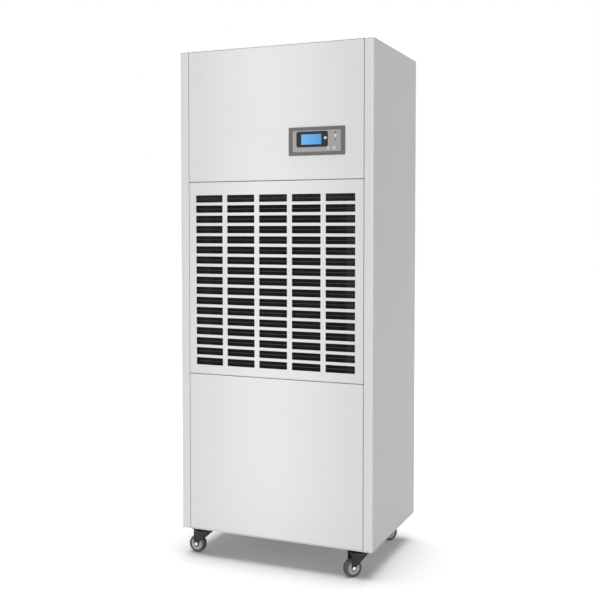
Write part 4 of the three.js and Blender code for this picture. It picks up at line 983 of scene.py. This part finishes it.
def scrollHousing():
    f = fan
    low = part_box("fan_volute")[0]
    band = bmesh.new()
    loopOf(band, scrollPoints(-f["housing"]), closed=False)
    made = bmesh.ops.extrude_edge_only(band, edges=band.edges[:])["geom"]
    moveMade(band, made, (2 * f["housing"], 0, 0))
    bmesh.ops.recalc_face_normals(band, faces=band.faces)
    lowest = min(band.faces, key=lambda face: face.calc_center_median().z)
    if lowest.normal.z > 0:
        bmesh.ops.reverse_faces(band, faces=band.faces)
    finishPiece(band, "fan_scroll_band", "zinc_plated_steel", ["fan_volute"], wall=f["sheet"],
                edge=0.2 * mm)
    for side in (-1, 1):
        bm = bmesh.new()
        loopOf(bm, scrollPoints(side * f["housing"]))
        face = bmesh.ops.contextual_create(bm, geom=bm.edges[:])["faces"][0]
        if face.normal.x * side < 0:
            face.normal_flip()
        eye = [(side * f["housing"], hubPoint.y + f["eye"] * math.cos(i * math.pi / 24),
                hubPoint.z + f["eye"] * math.sin(i * math.pi / 24)) for i in range(48)]
        cutOpenings(bm, face, [eye], 0.2 * mm)
        finishPiece(bm, f"fan_scroll_side_{'left' if side < 0 else 'right'}", "zinc_plated_steel",
                    wall=f["sheet"], edge=0.2 * mm)
    mouths = bmesh.new()
    for side in (-1, 1):
        eye = f["eye"]
        spun(mouths, [(eye + 9 * mm, 0.6 * mm), (eye + 2 * mm, 0.6 * mm), (eye - 1 * mm, -2 * mm),
                        (eye - 2 * mm, -9 * mm), (eye - 3.2 * mm, -9 * mm), (eye - 2.2 * mm, -1.6 * mm),
                        (eye + 1.2 * mm, 1.8 * mm), (eye + 9 * mm, 1.8 * mm)],
             hubPoint + across * side * (f["housing"] - 0.6 * mm), across * side, steps=64, closed=True,
             soften=0.5 * mm, segments=2)
        y0, y1 = hubPoint.y - f["footHalf"], hubPoint.y + f["footHalf"]
        wall = sorted((side * f["housing"], side * (f["housing"] + f["footWall"])))
        flange = sorted((side * f["housing"], side * (f["housing"] + f["footReach"])))
        boxInto(mouths, (wall[0], y0, low.z), (wall[1], y1, low.z + f["footHeight"]))
        boxInto(mouths, (flange[0], y0, low.z), (flange[1], y1, low.z + f["footWall"]))
    finishPiece(mouths, "fan_scroll_fittings", "zinc_plated_steel", edge=0.3 * mm, limit=60)


def fanWheel():
    f = fan
    core = bmesh.new()
    spun(core,
         [(0, -1.5 * mm), (f["wheel"] - 3 * mm, -1.5 * mm), (f["wheel"] - 3 * mm, 1.5 * mm), (0, 1.5 * mm)],
         hubPoint, across, steps=72)
    spun(core, [(0, -20 * mm), (17 * mm, -20 * mm), (17 * mm, 20 * mm), (0, 20 * mm)], hubPoint, across,
         steps=36, soften=1 * mm)
    spun(core, [(0, -80 * mm), (f["shaft"], -80 * mm), (f["shaft"], 20 * mm), (0, 20 * mm)], hubPoint,
         across,
         steps=24)
    for side in (-1, 1):
        spun(core, [(f["wheel"] - f["ring"], 0), (f["wheel"], 0), (f["wheel"], -8 * mm),
                    (f["wheel"] - 1.2 * mm, -8 * mm), (f["wheel"] - 1.2 * mm, -1.2 * mm),
                    (f["wheel"] - f["ring"], -1.2 * mm)],
             hubPoint + across * side * f["half"], across * side, steps=72, closed=True, soften=0.4 * mm,
             segments=2)
    finishPiece(core, "fan_wheel_core", "zinc_plated_steel", ["fan_impeller"], body="fan_wheel", sharp=40)
    blades = bmesh.new()
    steps = 5
    for i in range(f["blades"]):
        points = []
        for j in range(steps):
            share = j / (steps - 1)
            radius = f["wheel"] - 1.8 * mm - f["bladeDepth"] * (1 - share)
            angle = 2 * math.pi * i / f["blades"] + 0.13 * share ** 2
            points.append((-f["half"] + 1 * mm, hubPoint.y + radius * math.cos(angle),
                           hubPoint.z + radius * math.sin(angle)))
        before = set(blades.verts)
        loopOf(blades, points, closed=False)
        edges = [e for e in blades.edges if e.verts[0] not in before]
        made = bmesh.ops.extrude_edge_only(blades, edges=edges)["geom"]
        moveMade(blades, made, (2 * f["half"] - 2 * mm, 0, 0))
    bmesh.ops.recalc_face_normals(blades, faces=blades.faces)
    finishPiece(blades, "fan_wheel_blades", "zinc_plated_steel", body="fan_wheel", wall=0.8 * mm,
                edge=0.15 * mm)


motor = {"radius": 52 * mm, "length": 120 * mm, "inside": 62 * mm, "armLap": 22 * mm, "armWidth": 12 * mm,
         "armThick": 4 * mm, "ribs": 28, "ribDepth": 3 * mm}


def fanMotor():
    m = motor
    start = hubPoint + across * (-fan["housing"] - m["length"] + m["inside"])
    shell = m["radius"] - m["ribDepth"]
    bm = bmesh.new()
    spun(bm,
         [(0, 1 * mm), (18 * mm, 1 * mm), (20 * mm, 3 * mm), (shell - 10 * mm, 3 * mm),
          (m["radius"], 10 * mm),
              (m["radius"], 22 * mm), (shell, 24 * mm), (shell, 96 * mm), (m["radius"], 98 * mm),
              (m["radius"], 110 * mm), (shell - 10 * mm, 117 * mm), (20 * mm, 117 * mm),
          (18 * mm, 120 * mm),
              (9 * mm, 120 * mm), (9 * mm, 60 * mm), (0, 60 * mm)],
         start, across, steps=72, soften=1.2 * mm)
    for i in range(m["ribs"]):
        verts = boxInto(bm, start + Vector((23 * mm, -1.1 * mm, shell - 1 * mm)),
                        start + Vector((97 * mm, 1.1 * mm, m["radius"] - 0.3 * mm)))
        bmesh.ops.rotate(bm, verts=verts, cent=start,
                         matrix=Matrix.Rotation(2 * math.pi * i / m["ribs"], 3, "X"))
    armX = -fan["housing"] - 0.3 * mm - m["armThick"]
    for i in range(3):
        verts = boxInto(bm, hubPoint + Vector((armX, -m["armWidth"], m["radius"] - 6 * mm)),
                        hubPoint + Vector((armX + m["armThick"], m["armWidth"], fan["eye"] + m["armLap"])))
        turn = Matrix.Rotation(math.radians(120 * i), 3, "X")
        bmesh.ops.rotate(bm, verts=verts, cent=hubPoint, matrix=turn)
        head = hubPoint + turn @ Vector((armX, 0, fan["eye"] + m["armLap"] - 9 * mm))
        spun(bm, [(0, 2.6 * mm), (5 * mm, 2.6 * mm), (5 * mm, 0), (0, 0)], head, -across, steps=6)
    finishPiece(bm, "fan_motor_ribbed", "black_enamel", ["fan_motor"], sharp=35)


scrollHousing()
fanWheel()
fanMotor()
print("fan made")

# ---- compressor on rubber feet, accumulator, lines and drier

compressor = {"x": -40 * mm, "y": 60 * mm, "radius": 72 * mm, "height": 290 * mm, "footCircle": 92 * mm,
              "footLift": 8 * mm, "footThick": 4 * mm}


def compressorUnit():
    c = compressor
    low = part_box("compressor")[0]
    centre = Vector((c["x"], c["y"], low.z))
    r, h = c["radius"], c["height"]
    bm = bmesh.new()
    spun(bm, [(0, 0), (r * 0.5, 1.5 * mm), (r * 0.8, 9 * mm), (r * 0.94, 20 * mm), (r * 0.985, 34 * mm),
              (r * 0.985, h - 76 * mm), (r, h - 75 * mm), (r, h - 66 * mm), (r * 0.985, h - 65 * mm),
              (r * 0.985, h - 40 * mm), (r * 0.93, h - 24 * mm), (r * 0.8, h - 12 * mm),
              (r * 0.5, h - 3 * mm),
              (0, h)], centre, up, steps=72, soften=2 * mm)
    footAngles = [math.radians(90 + 120 * i) for i in range(3)]
    reach = c["footCircle"] + 8 * mm
    footZ = c["footLift"]
    slabInto(bm, [centre + Vector((reach * math.cos(a), reach * math.sin(a), footZ)) for a in footAngles],
             (0, 0, c["footThick"]), 7 * mm)
    for a in footAngles:
        seat = centre + Vector((c["footCircle"] * math.cos(a), c["footCircle"] * math.sin(a), footZ))
        spun(bm, [(0, 0), (14 * mm, 0), (14 * mm, c["footThick"]), (0, c["footThick"])], seat, up, steps=32,
             soften=0.8 * mm)
        spun(bm, [(0, 4 * mm), (6 * mm, 4 * mm), (6 * mm, 9 * mm), (0, 9 * mm)], seat, up, steps=6)
    outlet = centre + up * (h - 4 * mm)
    spun(bm, [(0, 0), (7 * mm, 0), (7 * mm, 15.6 * mm), (0, 15.6 * mm)], outlet, up, steps=24,
         soften=0.8 * mm)
    finishPiece(bm, "compressor_shell", "black_enamel", ["compressor"], sharp=50)
    cover = bmesh.new()
    front = c["y"] - r - 16 * mm
    boxInto(cover, (c["x"] - 26 * mm, front, low.z + h - 120 * mm),
            (c["x"] + 26 * mm, front + 22 * mm, low.z + h - 70 * mm))
    finishPiece(cover, "compressor_terminal_cover", "black_plastic", edge=3 * mm, segments=4)


def grommet(index):
    name = f"compressor_grommet_{index}"
    low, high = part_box(name)
    r, h = (high.x - low.x) / 2, high.z - low.z
    bm = bmesh.new()
    spun(bm,
         [(0, 0), (r, 0), (r, 5 * mm), (r * 0.75, 7 * mm), (r * 0.75, h - 6 * mm), (r * 0.95, h - 3 * mm),
              (r * 0.95, h), (0, h)], Vector(((low.x + high.x) / 2, (low.y + high.y) / 2, low.z)), up,
         steps=40, soften=0.8 * mm)
    finishPiece(bm, name + "_moulded", "grommet_rubber", [name], sharp=50)


accumulator = {"radius": 32 * mm, "height": 190 * mm, "drop": 32 * mm, "pipe": 9 * mm, "bend": 14 * mm}


def accumulatorUnit():
    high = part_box("accumulator")[1]
    a = accumulator
    r, h = a["radius"], a["height"]
    x = high.x - r
    top = high.z
    bm = bmesh.new()
    spun(bm, [(0, 0), (r * 0.35, 1 * mm), (r * 0.75, 6 * mm), (r, 18 * mm), (r, h - 18 * mm),
              (r * 0.75, h - 6 * mm), (r * 0.35, h - 1 * mm), (0, h)],
         Vector((x, compressor["y"], top - h)), up, steps=56, soften=3 * mm)
    elbow = top - h - a["drop"]
    pipeInto(bm, [(x, compressor["y"], top - h + 10 * mm), (x, compressor["y"], elbow),
                  (compressor["x"] + compressor["radius"], compressor["y"], elbow)], a["pipe"], a["bend"],
             20)
    finishPiece(bm, "accumulator_bottle", "black_enamel", ["accumulator"], sharp=50)
    strap = bmesh.new()
    for z in (h * 0.3, h * 0.7):
        spun(strap, [(r, 0), (r + 0.9 * mm, 0), (r + 0.9 * mm, 12 * mm), (r, 12 * mm)],
             Vector((x, compressor["y"], top - h + z)), up, steps=56, closed=True)
    finishPiece(strap, "accumulator_straps", "zinc_plated_steel", sharp=40)
    return x, top


lines = {"suctionX": 278 * mm, "dischargeOut": 15.7 * mm, "liquidOut": 2 * mm, "arch": 60 * mm,
         "lift": 38 * mm, "back": 50 * mm, "suction": 7 * mm, "discharge": 5 * mm, "liquid": 4 * mm,
         "drier": 14 * mm, "drierFoot": 60 * mm}


def refrigerantLines(accumulatorX, accumulatorTop):
    evaporator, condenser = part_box("evaporator_coil")[0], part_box("condenser_coil")[0]
    c = compressor
    start = coil["finRight"] + coil["stub"] + 0.3 * mm
    suctionX = lines["suctionX"]
    dischargeX = start + lines["dischargeOut"]
    liquidX = dischargeX + lines["liquidOut"]
    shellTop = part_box("compressor")[1].z
    suctionY, condenserY = evaporator.y + coil["stubRow"], condenser.y + coil["stubRow"]
    suctionZ, rise = evaporator.z + suctionStub, accumulatorTop + lines["arch"]
    bm = bmesh.new()
    pipeInto(bm, [(start, suctionY, suctionZ), (suctionX, suctionY, suctionZ), (suctionX, c["y"], suctionZ),
                  (suctionX, c["y"], rise), (accumulatorX, c["y"], rise),
                  (accumulatorX, c["y"], accumulatorTop + 0.3 * mm)], lines["suction"], 18 * mm, 20)
    finishPiece(bm, "suction_line_bent", "copper_tube", ["suction_line"], sharp=50)
    bm = bmesh.new()
    back = c["y"] + lines["back"]
    lineTop, dischargeZ = shellTop + lines["lift"], condenser.z + dischargeStub
    pipeInto(bm, [(c["x"], c["y"], shellTop + 0.3 * mm), (c["x"], c["y"], lineTop), (c["x"], back, lineTop),
                  (dischargeX, back, lineTop), (dischargeX, back, dischargeZ),
                  (dischargeX, condenserY, dischargeZ), (start, condenserY, dischargeZ)],
             lines["discharge"], 14 * mm, 16)
    finishPiece(bm, "discharge_line_bent", "copper_tube", ["discharge_line"], sharp=50)
    bm = bmesh.new()
    foot, inlet = condenser.z + liquidStub, evaporator.z + inletStub
    pipeInto(bm, [(start, condenserY, foot), (liquidX, condenserY, foot), (liquidX, condenserY, inlet),
                  (liquidX, suctionY, inlet), (start, suctionY, inlet)], lines["liquid"], 14 * mm, 16)
    drier = lines["drier"]
    spun(bm, [(0, 0), (5 * mm, 0), (drier * 0.7, 6 * mm), (drier, 14 * mm), (drier, 96 * mm),
              (drier * 0.7, 104 * mm), (5 * mm, 110 * mm), (0, 110 * mm)],
         Vector((liquidX, condenserY, foot + lines["drierFoot"])), up, steps=40, soften=1.5 * mm)
    finishPiece(bm, "liquid_line_bent", "copper_tube", ["liquid_line"], sharp=50)


compressorUnit()
for grommetIndex in (1, 2, 3):
    grommet(grommetIndex)
refrigerantLines(*accumulatorUnit())
print("refrigeration made")

# ---- drain hose, spigot, gland and electrics


fittings = {"hose": 9.8 * mm, "hoseBend": 60 * mm, "block": 42 * mm, "can": 22 * mm, "strap": 14 * mm,
            "strapFoot": 30 * mm}


def drainAndGland():
    low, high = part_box("drain_hose")
    r = fittings["hose"]
    x = (low.x + high.x) / 2
    bm = bmesh.new()
    pipeInto(bm, [(x, low.y + r, high.z), (x, low.y + r, low.z + r), (x, high.y, low.z + r)], r,
             fittings["hoseBend"], 24)
    finishPiece(bm, "drain_hose_bent", "clear_hose", ["drain_hose"], sharp=50)
    low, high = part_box("drain_spigot")
    centre = Vector(((low.x + high.x) / 2, low.y, (low.z + high.z) / 2))
    end = high.y - low.y
    bm = bmesh.new()
    spun(bm, [(0, 0), (8 * mm, 0), (8 * mm, 26.7 * mm), (14 * mm, 26.7 * mm), (14 * mm, 29.7 * mm),
              (8 * mm, 29.7 * mm), (8 * mm, end - 9 * mm), (7.2 * mm, end - 8 * mm), (8 * mm, end - 5 * mm),
              (6.8 * mm, end), (5.5 * mm, end), (5.5 * mm, 33.7 * mm), (0, 33.7 * mm)],
         centre, rear, steps=48, soften=0.3 * mm)
    finishPiece(bm, "drain_spigot_moulded", "black_plastic", ["drain_spigot"], sharp=45)
    low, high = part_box("cable_gland")
    centre = Vector(((low.x + high.x) / 2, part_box("back_panel")[0].y, (low.z + high.z) / 2))
    end = high.y - centre.y
    bm = bmesh.new()
    spun(bm, [(0, -14 * mm), (8 * mm, -14 * mm), (8 * mm, 9 * mm), (0, 9 * mm)], centre, rear, steps=40,
         soften=0.4 * mm)
    for base, reach in ((-6 * mm, 5.6 * mm), (1.5 * mm, 6.5 * mm)):
        spun(bm, [(0, base), (12 * mm, base), (12 * mm, base + reach), (0, base + reach)], centre, rear,
             steps=6)
    spun(bm,
         [(8 * mm, 8 * mm), (11 * mm, 8.2 * mm), (10.4 * mm, end - 3 * mm), (7 * mm, end), (4 * mm, end),
              (4 * mm, 8 * mm)], centre, rear, steps=48, closed=True, soften=0.5 * mm)
    finishPiece(bm, "cable_gland_moulded", "black_plastic", ["cable_gland"], sharp=45)


def electrics():
    low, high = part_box("contactor")
    bm = bmesh.new()
    boxInto(bm, (high.x - fittings["block"], low.y, low.z), (high.x, high.y, high.z))
    boxInto(bm, (low.x, low.y + 4 * mm, low.z + 16 * mm),
            (high.x - 40 * mm, high.y - 4 * mm, high.z - 16 * mm))
    finishPiece(bm, "contactor_case", "black_plastic", ["contactor"], edge=1 * mm, segments=3)
    bm = bmesh.new()
    for z in (low.z + 8 * mm, high.z - 8 * mm):
        for i in range(3):
            place = Vector((high.x - fittings["block"], low.y + (10 + 14 * i) * mm, z))
            spun(bm, [(0, 1.8 * mm), (3 * mm, 1.8 * mm), (3.6 * mm, 1.2 * mm), (3.6 * mm, 0), (0, 0)],
                 place,
                 -across, steps=20)
    finishPiece(bm, "contactor_screws", "zinc_plated_steel", sharp=35)
    low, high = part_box("run_capacitor")
    r = fittings["can"]
    centre = Vector((low.x + r, (low.y + high.y) / 2, low.z))
    h = high.z - low.z
    bm = bmesh.new()
    spun(bm, [(0, 0), (r, 0), (r, h - 6 * mm), (r, h - 5 * mm), (r - 1.6 * mm, h - 3 * mm),
              (r - 3 * mm, h - 4.5 * mm), (0, h - 4.5 * mm)], centre, up, steps=56, soften=0.8 * mm)
    for x in (-6 * mm, 6 * mm):
        boxInto(bm, centre + Vector((x - 0.5 * mm, -3 * mm, h - 5 * mm)),
                centre + Vector((x + 0.5 * mm, 3 * mm, h)))
    strapZ = centre.z + fittings["strapFoot"]
    boxInto(bm, (high.x - 1.2 * mm, low.y, strapZ), (high.x, high.y, strapZ + fittings["strap"]))
    finishPiece(bm, "run_capacitor_can", "coil_aluminium", ["run_capacitor"], sharp=40)
    strap = bmesh.new()
    spun(strap, [(r, 0), (r + 0.9 * mm, 0), (r + 0.9 * mm, fittings["strap"]), (r, fittings["strap"])],
         Vector((centre.x, centre.y, strapZ)), up, steps=48, closed=True)
    finishPiece(strap, "run_capacitor_strap", "zinc_plated_steel", sharp=40)


drainAndGland()
electrics()
print("drain and electrics made")

# ---- carried-over nodes get their finish by slot

for part in frame["record"]["subparts"]:
    node = nodes[part["node"]]
    node.data.materials.clear()
    node.data.materials.append(finishes[slotFinish[part["material_slot"]]])
print("frame painted")

# ---- floor, world and lamps

studio = {"floorSize": 30.0, "floorLift": 0.115, "floorGain": 1.28, "world": 0.165}


def makeFloor():
    bm = bmesh.new()
    bmesh.ops.create_grid(bm, x_segments=1, y_segments=1, size=studio["floorSize"] / 2)
    mesh = bpy.data.meshes.new("floor")
    bm.to_mesh(mesh)
    bm.free()
    floor = placed("floor", mesh)
    material = newMaterial("paintedFloorMatt")
    path = addNode(material, "ShaderNodeLightPath")
    ray = addNode(material, "ShaderNodeMath",
                  {0: path.outputs["Is Camera Ray"], 1: path.outputs["Is Glossy Ray"]},
                  operation="MAXIMUM").outputs[0]
    plain = addNode(material, "ShaderNodeBsdfDiffuse", {"Color": (0.62, 0.62, 0.62, 1)})
    seen = addNode(material, "ShaderNodeBsdfDiffuse", {"Color": (studio["floorGain"],) * 3 + (1,)})
    lift = addNode(material, "ShaderNodeEmission", {"Strength": studio["floorLift"]})
    both = addNode(material, "ShaderNodeAddShader", {0: seen.outputs[0], 1: lift.outputs[0]})
    mix = addNode(material, "ShaderNodeMixShader", {0: ray, 1: plain.outputs[0], 2: both.outputs[0]})
    addNode(material, "ShaderNodeOutputMaterial", {"Surface": mix.outputs[0]})
    mesh.materials.append(material)
    return floor


def makeWorld():
    world = bpy.data.worlds.new("studio")
    world.use_nodes = True
    world.node_tree.nodes.clear()
    path = addNode(world, "ShaderNodeLightPath")
    seen = addNode(world, "ShaderNodeMath",
                   {0: path.outputs["Is Camera Ray"], 1: path.outputs["Is Glossy Ray"]},
                   operation="MAXIMUM")
    seen = addNode(world, "ShaderNodeMath", {0: seen.outputs[0], 1: path.outputs["Is Transmission Ray"]},
                   operation="MAXIMUM")
    strength = addNode(world, "ShaderNodeMapRange",
                       {"Value": seen.outputs[0], "To Min": studio["world"], "To Max": 1.0})
    sky = addNode(world, "ShaderNodeBackground",
                  {"Color": (1, 1, 1, 1), "Strength": strength.outputs["Result"]})
    addNode(world, "ShaderNodeOutputWorld", {"Surface": sky.outputs[0]})
    bpy.context.scene.world = world


def keepOff(lamp, name, skip):
    # the lamp lights everything but these
    if skip:
        left = bpy.data.collections.new(name + "Skips")
        for item in skip:
            left.objects.link(item)
            left.collection_objects[-1].light_linking.link_state = "EXCLUDE"
        lamp.light_linking.receiver_collection = left


def makeSun(name, towards, strength, spread, skip=()):
    # towards: the way the light travels
    data = bpy.data.lights.new(name, "SUN")
    data.energy = strength
    data.angle = math.radians(spread)
    obj = placed(name, data)
    obj.rotation_euler = Vector(towards).to_track_quat("-Z", "Y").to_euler()
    keepOff(obj, name, skip)


def makeStrip(name, place, width, height, power, spread, skip):
    # a tall soft box that faces +Y
    data = bpy.data.lights.new(name, "AREA")
    data.shape = "RECTANGLE"
    data.size = width
    data.size_y = height
    data.energy = power
    data.spread = math.radians(spread)
    obj = placed(name, data)
    obj.location = place
    obj.rotation_euler = (math.pi / 2, 0, 0)
    obj.visible_camera = False
    keepOff(obj, name, skip)


floor = makeFloor()
makeWorld()
makeSun("overhead", (0.02, -0.04, -1), 2.0, 46)
makeSun("key", (-0.26, 0.935, -0.24), 1.64, 24, [floor])
makeStrip("strip", (-0.03, -1.02, 0.42), 0.10, 3.4, 0.66, 46, [floor])
makeSun("backFill", (0.55, -0.75, -0.35), 1.2, 40, [floor])
print("studio lit")
